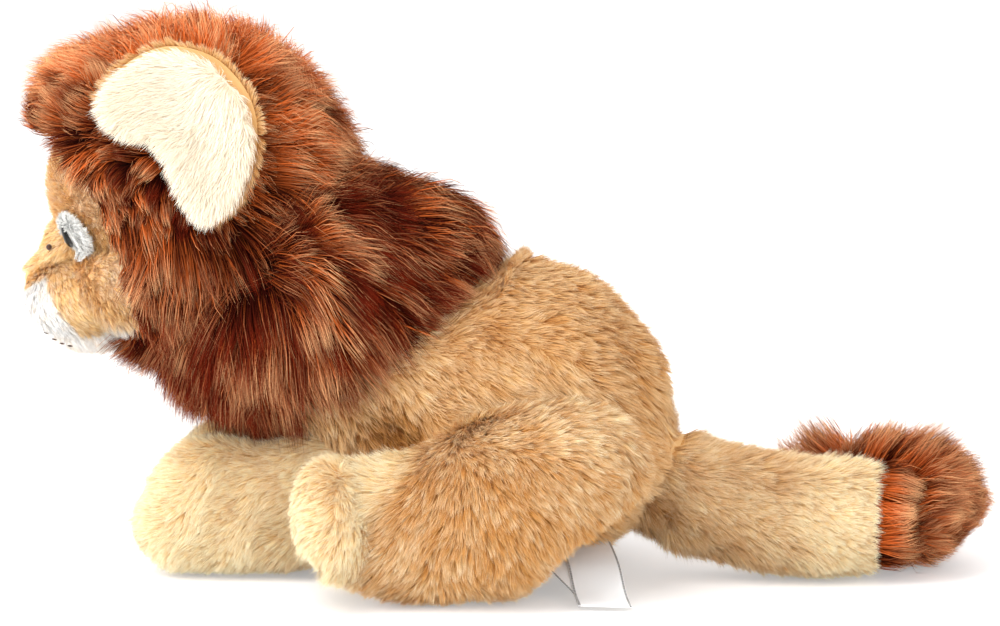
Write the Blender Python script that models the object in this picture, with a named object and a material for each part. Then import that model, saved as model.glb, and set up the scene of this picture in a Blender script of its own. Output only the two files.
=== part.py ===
"""A plush lion lying on its belly, modelled as it is sewn: fabric panels over stuffing.

Units are metres. The lion looks along -Y, +Z is up and +X is its left side. It rests on Z = 0.
Every fabric panel is drawn as thick as its backing and flattened pile together.
Each limb is a tube along a smooth path, cut back where the larger forms are sewn to it,
and the head is a ball that turns in a bowl cut out of the shoulders.
"""

import math

import bmesh
import bpy
import numpy as np
from mathutils import Matrix, Vector

# Cloth and clearances
PLUSH = 0.005
SEAM = 0.0003
SEWN_GAP = 0.0006
OVERRUN = 0.010
FLAT = 0.0005
FAR = 0.6
MERGE = 1e-6
SLACK = 1e-9

# Torso
TORSO_REACH = 0.175
TORSO_WIDTH = 0.100
TORSO_HEIGHT = 0.119
RUMP_Y = 0.066
BELLY_HEIGHT = 0.012

# Head
HEAD_DIAMETER = 0.124
HEAD_HEIGHT = 0.133
SKULL_WIDTH = 0.086
SKULL_LENGTH = 0.097
SKULL_HEIGHT = 0.072
CHEEK_WIDTH = 0.072
CHEEK_LENGTH = 0.064
CHEEK_HEIGHT = 0.048
MUZZLE_WIDTH = 0.048
MUZZLE_LENGTH = 0.044
MUZZLE_HEIGHT = 0.033
BRIDGE_WIDTH = 0.020
BRIDGE_LENGTH = 0.044
BRIDGE_HEIGHT = 0.016
CHIN_WIDTH = 0.026
CHIN_LENGTH = 0.030
CHIN_HEIGHT = 0.018
NOSE_WIDTH = 0.014
NOSE_DEPTH = 0.007
NOSE_HEIGHT = 0.010
CREST_WIDTH = 0.090
CREST_LENGTH = 0.075
CREST_HEIGHT = 0.055

# Eyes
EYE_DIAMETER = 0.0105
EYE_RISE = 0.0032
EYE_STEM_DIAMETER = 0.003
EYE_STEM_LENGTH = 0.013
WASHER_DIAMETER = 0.011
WASHER_THICKNESS = 0.0014
WASHER_DEPTH = 0.0092
PATCH_DIAMETER = 0.018

# Ears
EAR_WIDTH = 0.058
EAR_HEIGHT = 0.062
EAR_THICKNESS = 0.012

# Neck
NECK_BALL_DIAMETER = 0.030
NECK_DIAMETER = 0.024
NECK_DEPTH = 0.012

# Shoulder mane
CAPE_WIDTH = 0.116
CAPE_LENGTH = 0.130
CAPE_HEIGHT = 0.094

# Forelegs
FORELEG_LENGTH = 0.097
FORELEG_WIDTH = 0.041
FORELEG_HEIGHT = 0.053

# Hind legs
HIND_LEG_LENGTH = 0.113
HIND_LEG_WIDTH = 0.054
HIND_LEG_HEIGHT = 0.072
HIND_LEG_SPREAD = 0.029
SOLE_THICKNESS = 0.003

# Tail
TAIL_LENGTH = 0.0805
TAIL_DIAMETER = 0.044
TAIL_ROOM = 0.004
TUFT_WIDTH = 0.084
TUFT_LENGTH = 0.068
TUFT_HEIGHT = 0.043

# Sewn-in label
LABEL_WIDTH = 0.018
LABEL_THICKNESS = 0.0008
LABEL_REACH = 0.043
LABEL_DROP = 0.0145

# How far each sewn joint gives, in degrees, as the clearances are cut for
HEAD_NOD = 10.0
EAR_FOLD = 25.0
FORELEG_DROP = -8.0
FORELEG_LIFT = 8.0
HIND_LEG_SPLAY = 12.0
TAIL_WAG = 10.0

# Angles of the forms, in degrees
CAPE_TILT = 19.0
BRIDGE_TILT = 25.0
EYE_TURN = 31.0
EYE_DROP = 16.0
EAR_LEAN = 14.0

SHARP_EDGE = 50.0

# Counts of faces; the sides are multiples of four, so that each form has a row of points underneath
BODY_SIDES = 16
BODY_RINGS = 11
LIMB_SIDES = 12
LIMB_RINGS = 9
SMALL_SIDES = 12
SMALL_RINGS = 6
LABEL_ROWS = 9

UPRIGHT = Matrix.Rotation(math.pi / 2, 4, "X")
LEFT, RIGHT = 1, -1
SIDES = {"left": LEFT, "right": RIGHT}

HEAD_CENTRE = Vector((0, RUMP_Y - TORSO_REACH, HEAD_HEIGHT))
TORSO_SIZE = (TORSO_WIDTH, TORSO_REACH, TORSO_HEIGHT)
HEAD_SIZE = (HEAD_DIAMETER, HEAD_DIAMETER, HEAD_DIAMETER)
SKULL_SIZE = (SKULL_WIDTH, SKULL_LENGTH, SKULL_HEIGHT)
CHEEK_SIZE = (CHEEK_WIDTH, CHEEK_LENGTH, CHEEK_HEIGHT)
MUZZLE_SIZE = (MUZZLE_WIDTH, MUZZLE_LENGTH, MUZZLE_HEIGHT)
BRIDGE_SIZE = (BRIDGE_WIDTH, BRIDGE_LENGTH, BRIDGE_HEIGHT)
CHIN_SIZE = (CHIN_WIDTH, CHIN_LENGTH, CHIN_HEIGHT)
NOSE_SIZE = (NOSE_WIDTH, NOSE_DEPTH, NOSE_HEIGHT)
CREST_SIZE = (CREST_WIDTH, CREST_LENGTH, CREST_HEIGHT)
EAR_SIZE = (EAR_THICKNESS, EAR_WIDTH, EAR_HEIGHT)
CAPE_SIZE = (CAPE_WIDTH, CAPE_LENGTH, CAPE_HEIGHT)
FORELEG_SIZE = (FORELEG_WIDTH, FORELEG_LENGTH, FORELEG_HEIGHT)
HIND_LEG_SIZE = (HIND_LEG_WIDTH, HIND_LEG_LENGTH, HIND_LEG_HEIGHT)
TAIL_SIZE = (TAIL_DIAMETER, TAIL_DIAMETER, TAIL_DIAMETER)
TUFT_SIZE = (TUFT_WIDTH, TUFT_LENGTH, TUFT_HEIGHT)

# Rump to shoulders: how far ahead, the underside's lift, half the width and half the height,
# as shares of the reach, the height, the width and the height
TORSO_SHARES = [
    (0.0, 0.0, 0.42, 0.35),
    (0.126, 0.0, 0.46, 0.415),
    (0.274, 0.0, 0.50, 0.469),
    (0.446, 0.0, 0.49, 0.504),
    (0.617, 0.28, 0.44, 0.35),
    (0.789, 0.47, 0.38, 0.32),
]
NECK_SIZE_SHARES = (0.34, 0.30)
ELBOW_SHARE = 0.47

# Foreleg: ahead, out, the underside's lift, half the width and half the height, as shares of its size
FORELEG_SHARES = [
    (0.0, 0.51, 0.07, 0.34, 0.45),
    (0.24, 0.50, 0.09, 0.40, 0.48),
    (0.5, 0.49, 0.02, 0.415, 0.475),
    (0.74, 0.50, 0.0, 0.476, 0.50),
    (1.0, 0.50, 0.0, 0.463, 0.47),
]
FORELEG_START_SHARES = (0, -0.549, 0)
FORELEG_PIVOT_SHARES = (0.585, -0.10, 1.02)
FORELEG_SEAM_SHARE = 0.50

# Hind leg: the same, with its way out as a share of its spread
HIND_LEG_SHARES = [
    (0.0, 0.0, 0.287, 0.40, 0.36),
    (0.21, 0.28, 0.212, 0.52, 0.425),
    (0.44, 0.50, 0.01, 0.53, 0.482),
    (0.67, 0.70, 0.0, 0.41, 0.395),
    (0.85, 0.80, 0.0, 0.37, 0.368),
    (1.0, 1.0, 0.0, 0.39, 0.368),
]
HIND_LEG_START_SHARES = (0.36, -0.046, 0)
HIND_LEG_PIVOT_SHARES = (0, -0.04, 0.60)

# Tail: back as a share of its length; curl, the underside's lift and half sizes as shares of its diameter
TAIL_SHARES = [
    (-0.10, 0.0, 0.25, 0.50, 0.50),
    (0.25, 0.0, 0.11, 0.50, 0.50),
    (0.55, 0.0, 0.01, 0.50, 0.51),
    (0.8, -0.08, 0.02, 0.47, 0.49),
    (1.0, -0.34, 0.06, 0.42, 0.44),
]
TAIL_START_SHARES = (0, -0.13, 0.75)
TAIL_SEAM_SHARE = 0.52

# Shares of the path that round off at a tube's two ends
TORSO_ROUND_SHARES = (0.24, 0.05)
FORELEG_ROUND_SHARES = (0.24, 0.20)
HIND_LEG_ROUND_SHARES = (0.34, 0.05)
TAIL_ROUND_SHARES = (0.12, 0.24)

# Places of the rounded forms, as shares of each form's own size from the form that carries it
CAPE_PLACE_SHARES = (0, 0.36, -0.32)
SKULL_PLACE_SHARES = (0, -0.03, 0.055)
CHEEK_PLACE_SHARES = (0, -0.16, -0.69)
MUZZLE_PLACE_SHARES = (0, -0.61, -0.18)
BRIDGE_PLACE_SHARES = (0, -0.02, 0.75)
CHIN_PLACE_SHARES = (0, 0.10, -0.78)
NOSE_PLACE_SHARES = (0, -0.46, 0.13)
CREST_PLACE_SHARES = (0, -0.33, 0.51)
TUFT_PLACE_SHARES = (-0.16, -0.03, 0.5)

# The eye on the skull's dome, as shares of half its width and height
EYE_PLACE_SHARES = (0.465, -0.486)

# The ear's centre as shares of the head from the head's centre, its root and its hollow as shares of its own size
EAR_PLACE_SHARES = (0.42, 0.05, 0.20)
EAR_ROOT_SHARE = 0.44
HOLLOW_PLACE_SHARE = 0.80
HOLLOW_SIZE_SHARES = (1.0, 0.72, 0.72)
EAR_ROOM_SHARE = 0.33
EAR_FOLD_SHARES = (0.0, 0.5, 1.0)

# The front edge of the head mane, seen from the left, as shares of the head's radius from its centre
OPENING_SHARES = [
    (-0.30, -1.4),
    (-0.30, -0.08),
    (-0.44, 0.15),
    (-0.66, 0.32),
    (-0.82, 0.37),
    (-1.6, 0.37),
    (-1.6, -1.4),
]
FACE_EDGE_SHARE = -0.27

# The label from its seam to its loose end: out as a share of the reach, down as a share of the drop
LABEL_SHARES = [(0.0, 0.0), (0.25, 0.10), (0.55, 0.36), (0.80, 0.82), (1.0, 1.0)]
LABEL_START_SHARES = (0.19, -0.13, 0)


def clear_scene():
    for item in list(bpy.data.objects):
        bpy.data.objects.remove(item, do_unlink=True)


def read_along(rows, shares):
    """Values at the given shares of a table of evenly spaced rows, on a Catmull-Rom curve."""
    rows = np.asarray(rows, float)
    last = len(rows) - 1
    place = np.clip(shares, 0, 1) * last
    start = np.minimum(place.astype(int), last - 1)
    u = (place - start)[:, None]
    padded = np.vstack([2 * rows[0] - rows[1], rows, 2 * rows[-1] - rows[-2]])
    before, near, far, after = (padded[start + k] for k in range(4))
    bend = 2 * before - 5 * near + 4 * far - after
    twist = 3 * near - before - 3 * far + after
    return 0.5 * (2 * near + (far - before) * u + bend * u**2 + twist * u**3)


def by_shares(size, shares):
    """An offset given as shares of a width, a length and a height."""
    return Vector([length * share for length, share in zip(size, shares)])


def mirrored(point, side):
    return Vector((side * point[0], point[1], point[2]))


def round_ends(shares, ends):
    """A factor that falls from 1 to 0 as an ellipse over the first and the last share of a tube."""
    start, end = ends
    from_start = np.clip(shares / start, 0, 1)
    from_end = np.clip((1 - shares) / end, 0, 1)
    return np.sqrt(1 - (1 - from_start) ** 2) * np.sqrt(1 - (1 - from_end) ** 2)


def new_object(name, points, faces, grow=0.0):
    """A closed mesh object with its faces turned outwards, its surface moved out by grow."""
    mesh = bmesh.new()
    corners = [mesh.verts.new(point) for point in points]
    for face in faces:
        mesh.faces.new([corners[index] for index in face])
    bmesh.ops.recalc_face_normals(mesh, faces=mesh.faces)
    if grow:
        mesh.normal_update()
        moves = [(corner, corner.normal * grow) for corner in mesh.verts]
        for corner, move in moves:
            corner.co += move
    data = bpy.data.meshes.new(name)
    mesh.to_mesh(data)
    mesh.free()
    made = bpy.data.objects.new(name, data)
    bpy.context.scene.collection.objects.link(made)
    return made


def tube(name, path, sizes, ends, sides, rings, grow=0.0):
    """A closed tube: ellipses of the half sizes along the path, shrinking to a point at each end."""
    shares = (1 - np.cos(np.pi * np.arange(1, rings + 1) / (rings + 1))) / 2
    step = 1e-3
    centres = read_along(path, shares)
    heading = read_along(path, shares + step) - read_along(path, shares - step)
    heading /= np.linalg.norm(heading, axis=1)[:, None]
    across = np.cross(heading, (0.0, 0.0, 1.0))
    across /= np.linalg.norm(across, axis=1)[:, None]
    rise = np.cross(across, heading)
    half = read_along(sizes, shares) * round_ends(shares, ends)[:, None]
    turn = 2 * np.pi * np.arange(sides) / sides
    wide = half[:, :1, None] * np.cos(turn)[None, :, None] * across[:, None, :]
    high = half[:, 1:, None] * np.sin(turn)[None, :, None] * rise[:, None, :]
    points = (centres[:, None, :] + wide + high).reshape(-1, 3)
    points = [tuple(path[0]), *map(tuple, points), tuple(path[-1])]
    return new_object(name, points, grid_faces(rings, sides), grow)


def grid_faces(rings, sides):
    """Faces of rings of points between a first and a last single point."""
    def index(ring, side):
        return 1 + ring * sides + side % sides

    last = 1 + rings * sides
    faces = [(0, index(0, side), index(0, side + 1)) for side in range(sides)]
    for ring in range(rings - 1):
        for side in range(sides):
            faces.append((index(ring, side), index(ring + 1, side), index(ring + 1, side + 1), index(ring, side + 1)))
    faces += [(last, index(rings - 1, side + 1), index(rings - 1, side)) for side in range(sides)]
    return faces


def ellipsoid(name, centre, size, turn=None, sides=BODY_SIDES, rings=BODY_RINGS, grow=0.0):
    """An ellipsoid of the given full size, turned about its centre, with its poles along its Y axis."""
    angle = np.pi * np.arange(1, rings + 1) / (rings + 1)
    around = 2 * np.pi * np.arange(sides) / sides
    x = np.outer(np.sin(angle), np.cos(around)).ravel()
    y = np.repeat(np.cos(angle), sides)
    z = np.outer(np.sin(angle), np.sin(around)).ravel()
    unit = np.vstack([(0, 1, 0), np.column_stack([x, y, z]), (0, -1, 0)])
    turn = turn or Matrix()
    points = [Vector(centre) + turn.to_3x3() @ Vector(row * np.asarray(size) / 2) for row in unit]
    return new_object(name, points, grid_faces(rings, sides), grow)


def box(name, low, high):
    corners = [(x, y, z) for x in (low[0], high[0]) for y in (low[1], high[1]) for z in (low[2], high[2])]
    faces = [(0, 1, 3, 2), (4, 6, 7, 5), (0, 4, 5, 1), (2, 3, 7, 6), (0, 2, 6, 4), (1, 5, 7, 3)]
    return new_object(name, corners, faces)


def half_space(name, point, normal):
    """A box so large that it holds all of the lion on the side of a plane that its normal points to."""
    made = box(name, (-FAR, -FAR, 0), (FAR, FAR, FAR))
    made.data.transform(Matrix.Translation(point) @ Vector(normal).to_track_quat("Z", "Y").to_matrix().to_4x4())
    return made


def prism(name, outline, half_width):
    """An outline in Y and Z carried from side to side."""
    count = len(outline)
    points = [(x, y, z) for x in (-half_width, half_width) for y, z in outline]
    faces = [tuple(range(count)), tuple(range(2 * count - 1, count - 1, -1))]
    faces += [(k, (k + 1) % count, (k + 1) % count + count, k + count) for k in range(count)]
    return new_object(name, points, faces)


def disc(name, centre, axis, radius, length, sides=SMALL_SIDES):
    """A round bar from the centre along the axis."""
    turn = Vector(axis).to_track_quat("Z", "Y").to_matrix().to_4x4()
    around = [2 * math.pi * k / sides for k in range(sides)]
    ring = [(radius * math.cos(a), radius * math.sin(a)) for a in around]
    points = [Matrix.Translation(centre) @ turn @ Vector((x, y, z)) for z in (0, length) for x, y in ring]
    faces = [tuple(range(sides)), tuple(range(2 * sides - 1, sides - 1, -1))]
    faces += [(k, (k + 1) % sides, (k + 1) % sides + sides, k + sides) for k in range(sides)]
    return new_object(name, points, faces)


def copy_of(item):
    made = bpy.data.objects.new("copy", item.data.copy())
    bpy.context.scene.collection.objects.link(made)
    return made


def turned(item, pivot, axis, degrees):
    """The solid itself, turned about an axis through the pivot."""
    turn = Matrix.Rotation(math.radians(degrees), 4, Vector(axis))
    item.data.transform(Matrix.Translation(pivot) @ turn @ Matrix.Translation(-Vector(pivot)))
    return item


def wrapped(items):
    """The convex hull of some solids, which go."""
    mesh = bmesh.new()
    for item in items:
        for vertex in item.data.vertices:
            mesh.verts.new(vertex.co)
    drop(*items)
    hull = bmesh.ops.convex_hull(mesh, input=mesh.verts)
    bmesh.ops.delete(mesh, geom=list({*hull["geom_interior"], *hull["geom_unused"]}), context="VERTS")
    bmesh.ops.recalc_face_normals(mesh, faces=mesh.faces)
    data = bpy.data.meshes.new("hull")
    mesh.to_mesh(data)
    mesh.free()
    made = bpy.data.objects.new("hull", data)
    bpy.context.scene.collection.objects.link(made)
    return made


def drop(*items):
    for item in items:
        bpy.data.objects.remove(item, do_unlink=True)


def tidy_volume(data):
    """Splits a mesh's faces into triangles, merges what coincides, and gives its volume, or 0 if it is open."""
    mesh = bmesh.new()
    mesh.from_mesh(data)
    bmesh.ops.triangulate(mesh, faces=mesh.faces)
    bmesh.ops.remove_doubles(mesh, verts=mesh.verts, dist=MERGE)
    bmesh.ops.dissolve_degenerate(mesh, dist=MERGE, edges=mesh.edges)
    bmesh.ops.triangulate(mesh, faces=mesh.faces)
    closed = bool(mesh.faces) and all(edge.is_manifold for edge in mesh.edges)
    volume = mesh.calc_volume() if closed else 0.0
    mesh.to_mesh(data)
    mesh.free()
    return volume


def after_boolean(target, other, operation, solver):
    modifier = target.modifiers.new("combine", "BOOLEAN")
    modifier.solver = solver
    modifier.operation = operation
    modifier.object = other
    bpy.context.view_layer.update()
    graph = bpy.context.evaluated_depsgraph_get()
    result = bpy.data.meshes.new_from_object(target.evaluated_get(graph))
    target.modifiers.clear()
    return result


def combine(target, other, operation):
    """The target after one Boolean with the other solid: the exact solver, or the manifold solver where the
    exact one leaves a mesh that is open or whose volume can't be right."""
    mine, theirs = tidy_volume(target.data), tidy_volume(other.data)
    least, most = {
        "DIFFERENCE": (mine - theirs, mine),
        "INTERSECT": (0, min(mine, theirs)),
        "UNION": (max(mine, theirs), mine + theirs),
    }[operation]
    for solver in ("EXACT", "MANIFOLD"):
        result = after_boolean(target, other, operation, solver)
        volume = tidy_volume(result)
        if volume > 0 and least - SLACK <= volume <= most + SLACK:
            break
    target.data = result
    return target


def cut(target, *others):
    for other in others:
        combine(target, other, "DIFFERENCE")
        drop(other)
    return target


def keep(target, *others):
    for other in others:
        combine(target, other, "INTERSECT")
        drop(other)
    return target


def join(target, *others):
    for other in others:
        combine(target, other, "UNION")
        drop(other)
    return target


def main_body(item):
    """Removes the crumbs that a cut leaves, so that the largest closed body stays."""
    mesh = bmesh.new()
    mesh.from_mesh(item.data)
    waiting = set(mesh.faces)
    groups = []
    while waiting:
        group = []
        edge_of = [waiting.pop()]
        while edge_of:
            face = edge_of.pop()
            group.append(face)
            for edge in face.edges:
                for near in edge.link_faces:
                    if near in waiting:
                        waiting.remove(near)
                        edge_of.append(near)
        groups.append(group)
    groups.sort(key=lambda group: sum(face.calc_area() for face in group))
    crumbs = [face for group in groups[:-1] for face in group]
    bmesh.ops.delete(mesh, geom=crumbs, context="FACES")
    loose = [vertex for vertex in mesh.verts if not vertex.link_faces]
    bmesh.ops.delete(mesh, geom=loose, context="VERTS")
    mesh.to_mesh(item.data)
    mesh.free()
    return item


def rest_on_floor(item):
    """Cuts a form flat where it stands."""
    return keep(item, half_space("floor", (0, 0, 0), (0, 0, 1)))


def on_side(item, side):
    """The part of a solid on the lion's left or right, half a seam from the middle."""
    return keep(item, half_space("side", (side * SEAM / 2, 0, 0), (side, 0, 0)))


BODIES = {}
MATERIALS = {}


def material(name, colour, roughness):
    """A Principled BSDF of one colour; cloth and hard plastic differ in roughness."""
    if name not in MATERIALS:
        made = bpy.data.materials.new(name)
        made.use_nodes = True
        shader = made.node_tree.nodes["Principled BSDF"]
        shader.inputs["Base Color"].default_value = (*colour, 1)
        shader.inputs["Roughness"].default_value = roughness
        shader.inputs["Metallic"].default_value = 0
        MATERIALS[name] = made
    return MATERIALS[name]


def tan_plush():
    return material("tan_plush", (0.62, 0.38, 0.16), 0.95)


def cream_plush():
    return material("cream_plush", (0.86, 0.76, 0.60), 0.95)


def white_plush():
    return material("white_plush", (0.92, 0.88, 0.82), 0.95)


def mane_fur():
    return material("mane_fur", (0.26, 0.08, 0.03), 0.9)


def stuffing():
    return material("stuffing", (0.90, 0.90, 0.90), 1.0)


def glossy_plastic():
    return material("glossy_plastic", (0.01, 0.008, 0.006), 0.12)


def washer_plastic():
    return material("washer_plastic", (0.80, 0.80, 0.78), 0.5)


def nose_felt():
    return material("nose_felt", (0.16, 0.06, 0.03), 0.85)


def label_satin():
    return material("label_satin", (0.90, 0.90, 0.90), 0.6)


def add_body(name, pivot, parent=None):
    """An empty on the joint's axis, which the body's pieces hang from."""
    empty = bpy.data.objects.new(name + "_pivot", None)
    bpy.context.scene.collection.objects.link(empty)
    empty.parent = BODIES[parent][0] if parent else None
    origin = BODIES[parent][1] if parent else Vector((0, 0, 0))
    empty.location = Vector(pivot) - origin
    BODIES[name] = (empty, Vector(pivot))


def add_node(name, item, body, finish):
    """Names a finished solid, gives it its material and hangs it from its body's empty."""
    main_body(item)
    empty, pivot = BODIES[body]
    item.name = name
    item.data.name = name
    item.data.transform(Matrix.Translation(-pivot))
    item.data.materials.clear()
    item.data.materials.append(finish)
    item.parent = empty
    item.data.shade_smooth()
    item.data.set_sharp_from_angle(angle=math.radians(SHARP_EDGE))
    return item


# Torso

def above_floor(lift, half, height):
    """The height of a form's middle, whose underside is pressed into the floor by the flat where its lift is zero."""
    return (lift + half) * height - FLAT


def torso_path():
    rows = [
        (0, RUMP_Y - ahead * TORSO_REACH, above_floor(lift, high, TORSO_HEIGHT))
        for ahead, lift, wide, high in TORSO_SHARES
    ]
    return rows + [tuple(HEAD_CENTRE)]


def torso(grow=0.0):
    sizes = [(wide * TORSO_WIDTH, high * TORSO_HEIGHT) for ahead, lift, wide, high in TORSO_SHARES]
    sizes.append((NECK_SIZE_SHARES[0] * TORSO_WIDTH, NECK_SIZE_SHARES[1] * TORSO_HEIGHT))
    return tube("torso", torso_path(), sizes, TORSO_ROUND_SHARES, BODY_SIDES, BODY_RINGS, grow)


def head_bowl():
    """The hollow between the shoulders, whose flat faces clear the head however it turns."""
    narrowing = math.cos(math.pi / BODY_SIDES) * math.cos(math.pi / (2 * BODY_RINGS + 2))
    return ellipsoid("bowl", HEAD_CENTRE, [(length + 2 * SEWN_GAP) / narrowing for length in HEAD_SIZE])


def tail_socket():
    """The hollow in the rump, whose flat faces clear the root of the tail as it swings."""
    size = [(length + 2 * SEAM) / math.cos(math.pi / BODY_SIDES) for length in TAIL_SIZE]
    return ellipsoid("socket", TAIL_ROOT, size, UPRIGHT, BODY_SIDES, SMALL_RINGS)


def neck_bore():
    """The hole in the stuffing that the neck turns in."""
    radius = (NECK_DIAMETER / 2 + SEAM) / math.cos(math.pi / SMALL_SIDES)
    return disc("bore", HEAD_CENTRE, NECK_AXIS, radius, HEAD_DIAMETER / 2 + NECK_DEPTH + SEAM)


def above_belly(gap=0.0):
    """All that lies over the belly panel's edge, which runs level to the elbows and then up to the head."""
    low = BELLY_HEIGHT - gap
    elbow = RUMP_Y - ELBOW_SHARE * TORSO_REACH - gap
    front = HEAD_CENTRE.y - gap
    outline = [(FAR, low), (elbow, low), (front, HEAD_CENTRE.z - gap), (front, FAR), (FAR, FAR)]
    return prism("above_belly", outline, FAR)


def torso_skin():
    return rest_on_floor(cut(torso(), torso(-PLUSH), head_bowl(), tail_socket()))


def build_torso():
    """Two back panels and a belly panel round the stuffing."""
    for word, side in SIDES.items():
        panel = keep(on_side(torso_skin(), side), above_belly())
        add_node(f"torso_{word}_panel", panel, "root", tan_plush())
    add_node("belly_panel", cut(torso_skin(), above_belly(SEAM)), "root", cream_plush())
    filling = cut(torso(-PLUSH - SEAM), head_bowl(), tail_socket(), neck_bore())
    add_node("torso_filling", rest_on_floor(filling), "root", stuffing())


# Shoulder mane

CAPE_CENTRE = HEAD_CENTRE + by_shares(CAPE_SIZE, CAPE_PLACE_SHARES)


def cape(grow=0.0):
    turn = Matrix.Rotation(math.radians(CAPE_TILT), 4, "X")
    return ellipsoid("cape", CAPE_CENTRE, CAPE_SIZE, turn, grow=grow)


def build_shoulder_mane():
    """The long-pile cape over the shoulders, hollowed for the torso and for the head."""
    for word, side in SIDES.items():
        mane = cut(on_side(cape(), side), torso(SEAM), head_bowl())
        add_node(f"shoulder_mane_{word}", mane, "root", mane_fur())


# Neck

NECK_AXIS = (Vector(torso_path()[-2]) - HEAD_CENTRE).normalized()


def neck_stem(length, grow=0.0):
    """A bar from the head's centre towards the shoulders, with a ball at the centre."""
    size = (NECK_BALL_DIAMETER, NECK_BALL_DIAMETER, NECK_BALL_DIAMETER)
    ball = ellipsoid("ball", HEAD_CENTRE, size, None, SMALL_SIDES, SMALL_RINGS, grow)
    return join(ball, disc("stem", HEAD_CENTRE, NECK_AXIS, NECK_DIAMETER / 2 + grow, length))


def neck_room():
    """What the head's own pieces leave free for the neck as the head nods."""
    stems = [neck_stem(HEAD_DIAMETER, SEWN_GAP) for k in range(2)]
    return wrapped([turned(stem, HEAD_CENTRE, (1, 0, 0), nod) for stem, nod in zip(stems, (-HEAD_NOD, HEAD_NOD))])


def build_neck():
    """The stuffed neck, which ends in a bore in the shoulders."""
    add_node("neck_filling", neck_stem(HEAD_DIAMETER / 2 + NECK_DEPTH), "neck", stuffing())


# Head

SKULL_CENTRE = HEAD_CENTRE + by_shares(SKULL_SIZE, SKULL_PLACE_SHARES)
CHEEK_CENTRE = SKULL_CENTRE + by_shares(CHEEK_SIZE, CHEEK_PLACE_SHARES)
MUZZLE_CENTRE = CHEEK_CENTRE + by_shares(MUZZLE_SIZE, MUZZLE_PLACE_SHARES)
BRIDGE_CENTRE = MUZZLE_CENTRE + by_shares(BRIDGE_SIZE, BRIDGE_PLACE_SHARES)
CHIN_CENTRE = MUZZLE_CENTRE + by_shares(CHIN_SIZE, CHIN_PLACE_SHARES)
NOSE_CENTRE = MUZZLE_CENTRE + by_shares(MUZZLE_SIZE, NOSE_PLACE_SHARES)
CREST_CENTRE = HEAD_CENTRE + by_shares(CREST_SIZE, CREST_PLACE_SHARES)


def skull(grow=0.0):
    """The short-pile head under the mane: a dome for the forehead and a fuller form for the cheeks."""
    dome = ellipsoid("dome", SKULL_CENTRE, SKULL_SIZE, grow=grow)
    cheeks = ellipsoid("cheeks", CHEEK_CENTRE, CHEEK_SIZE, grow=grow)
    return join(dome, cheeks)


def bridge(grow=0.0):
    turn = Matrix.Rotation(math.radians(BRIDGE_TILT), 4, "X")
    return ellipsoid("bridge", BRIDGE_CENTRE, BRIDGE_SIZE, turn, SMALL_SIDES, SMALL_RINGS, grow)


def muzzle(grow=0.0):
    return ellipsoid("muzzle", MUZZLE_CENTRE, MUZZLE_SIZE, None, LIMB_SIDES, LIMB_RINGS, grow)


def face_edge(gap=0.0):
    """The plane where the face panels end under the mane."""
    y = HEAD_CENTRE.y + FACE_EDGE_SHARE * HEAD_DIAMETER / 2
    return half_space("face_edge", (0, y - gap, 0), (0, -1, 0))


def eye_axis(side):
    turn, fall = math.radians(EYE_TURN), math.radians(EYE_DROP)
    return Vector((side * math.sin(turn) * math.cos(fall), -math.cos(turn) * math.cos(fall), -math.sin(fall)))


def eye_seat(side):
    """The point of the skull's dome that an eye sits on."""
    across, up = EYE_PLACE_SHARES
    ahead = math.sqrt(1 - across**2 - up**2)
    return SKULL_CENTRE + by_shares(SKULL_SIZE, (side * across, -ahead, up)) / 2


def eye_bar(side, diameter, depth, rise=0.0):
    """A round bar through the face at an eye, from a depth under its seat to a rise over it."""
    axis = eye_axis(side)
    return disc("eye_bar", eye_seat(side) - depth * axis, axis, diameter / 2, depth + rise)


def face_form(grow=0.0):
    return join(skull(grow), bridge(grow))


def build_face():
    """Two tan halves with white patches let in round the eyes."""
    for word, side in SIDES.items():
        shell = on_side(face_form(), side)
        keep(shell, face_edge(SEAM))
        cut(shell, skull(-PLUSH))
        patch = copy_of(shell)
        keep(patch, eye_bar(side, PATCH_DIAMETER, 2 * PLUSH, PLUSH + OVERRUN))
        cut(patch, eye_bar(side, EYE_STEM_DIAMETER + 2 * SEAM, 2 * PLUSH, PLUSH + OVERRUN))
        cut(patch, bridge(SEAM))
        cut(shell, eye_bar(side, PATCH_DIAMETER + 2 * SEAM, 2 * PLUSH, PLUSH + OVERRUN))
        add_node(f"face_{word}", shell, "head", tan_plush())
        add_node(f"eye_patch_{word}", patch, "head", white_plush())


def build_eyes():
    """A domed plastic eye on a stem, held by a washer behind the cloth."""
    for word, side in SIDES.items():
        axis, seat = eye_axis(side), eye_seat(side)
        turn = axis.to_track_quat("Y", "Z").to_matrix().to_4x4()
        size = (EYE_DIAMETER, 2 * EYE_RISE, EYE_DIAMETER)
        eye = ellipsoid("eye", seat, size, turn, SMALL_SIDES, SMALL_RINGS)
        cut(eye, skull(SEAM))
        depth = EYE_STEM_LENGTH - EYE_RISE
        join(eye, eye_bar(side, EYE_STEM_DIAMETER, depth, EYE_RISE / 2))
        add_node(f"eye_{word}", eye, "head", glossy_plastic())
        washer = disc("washer", washer_place(side), axis, WASHER_DIAMETER / 2, WASHER_THICKNESS)
        cut(washer, eye_bar(side, EYE_STEM_DIAMETER + 2 * SEAM, EYE_STEM_LENGTH + OVERRUN, EYE_RISE))
        add_node(f"eye_washer_{word}", washer, "head", washer_plastic())


def washer_place(side):
    """The far face of a washer, which grips the stem behind the cloth."""
    return eye_seat(side) - eye_axis(side) * (WASHER_DEPTH + WASHER_THICKNESS)


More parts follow.
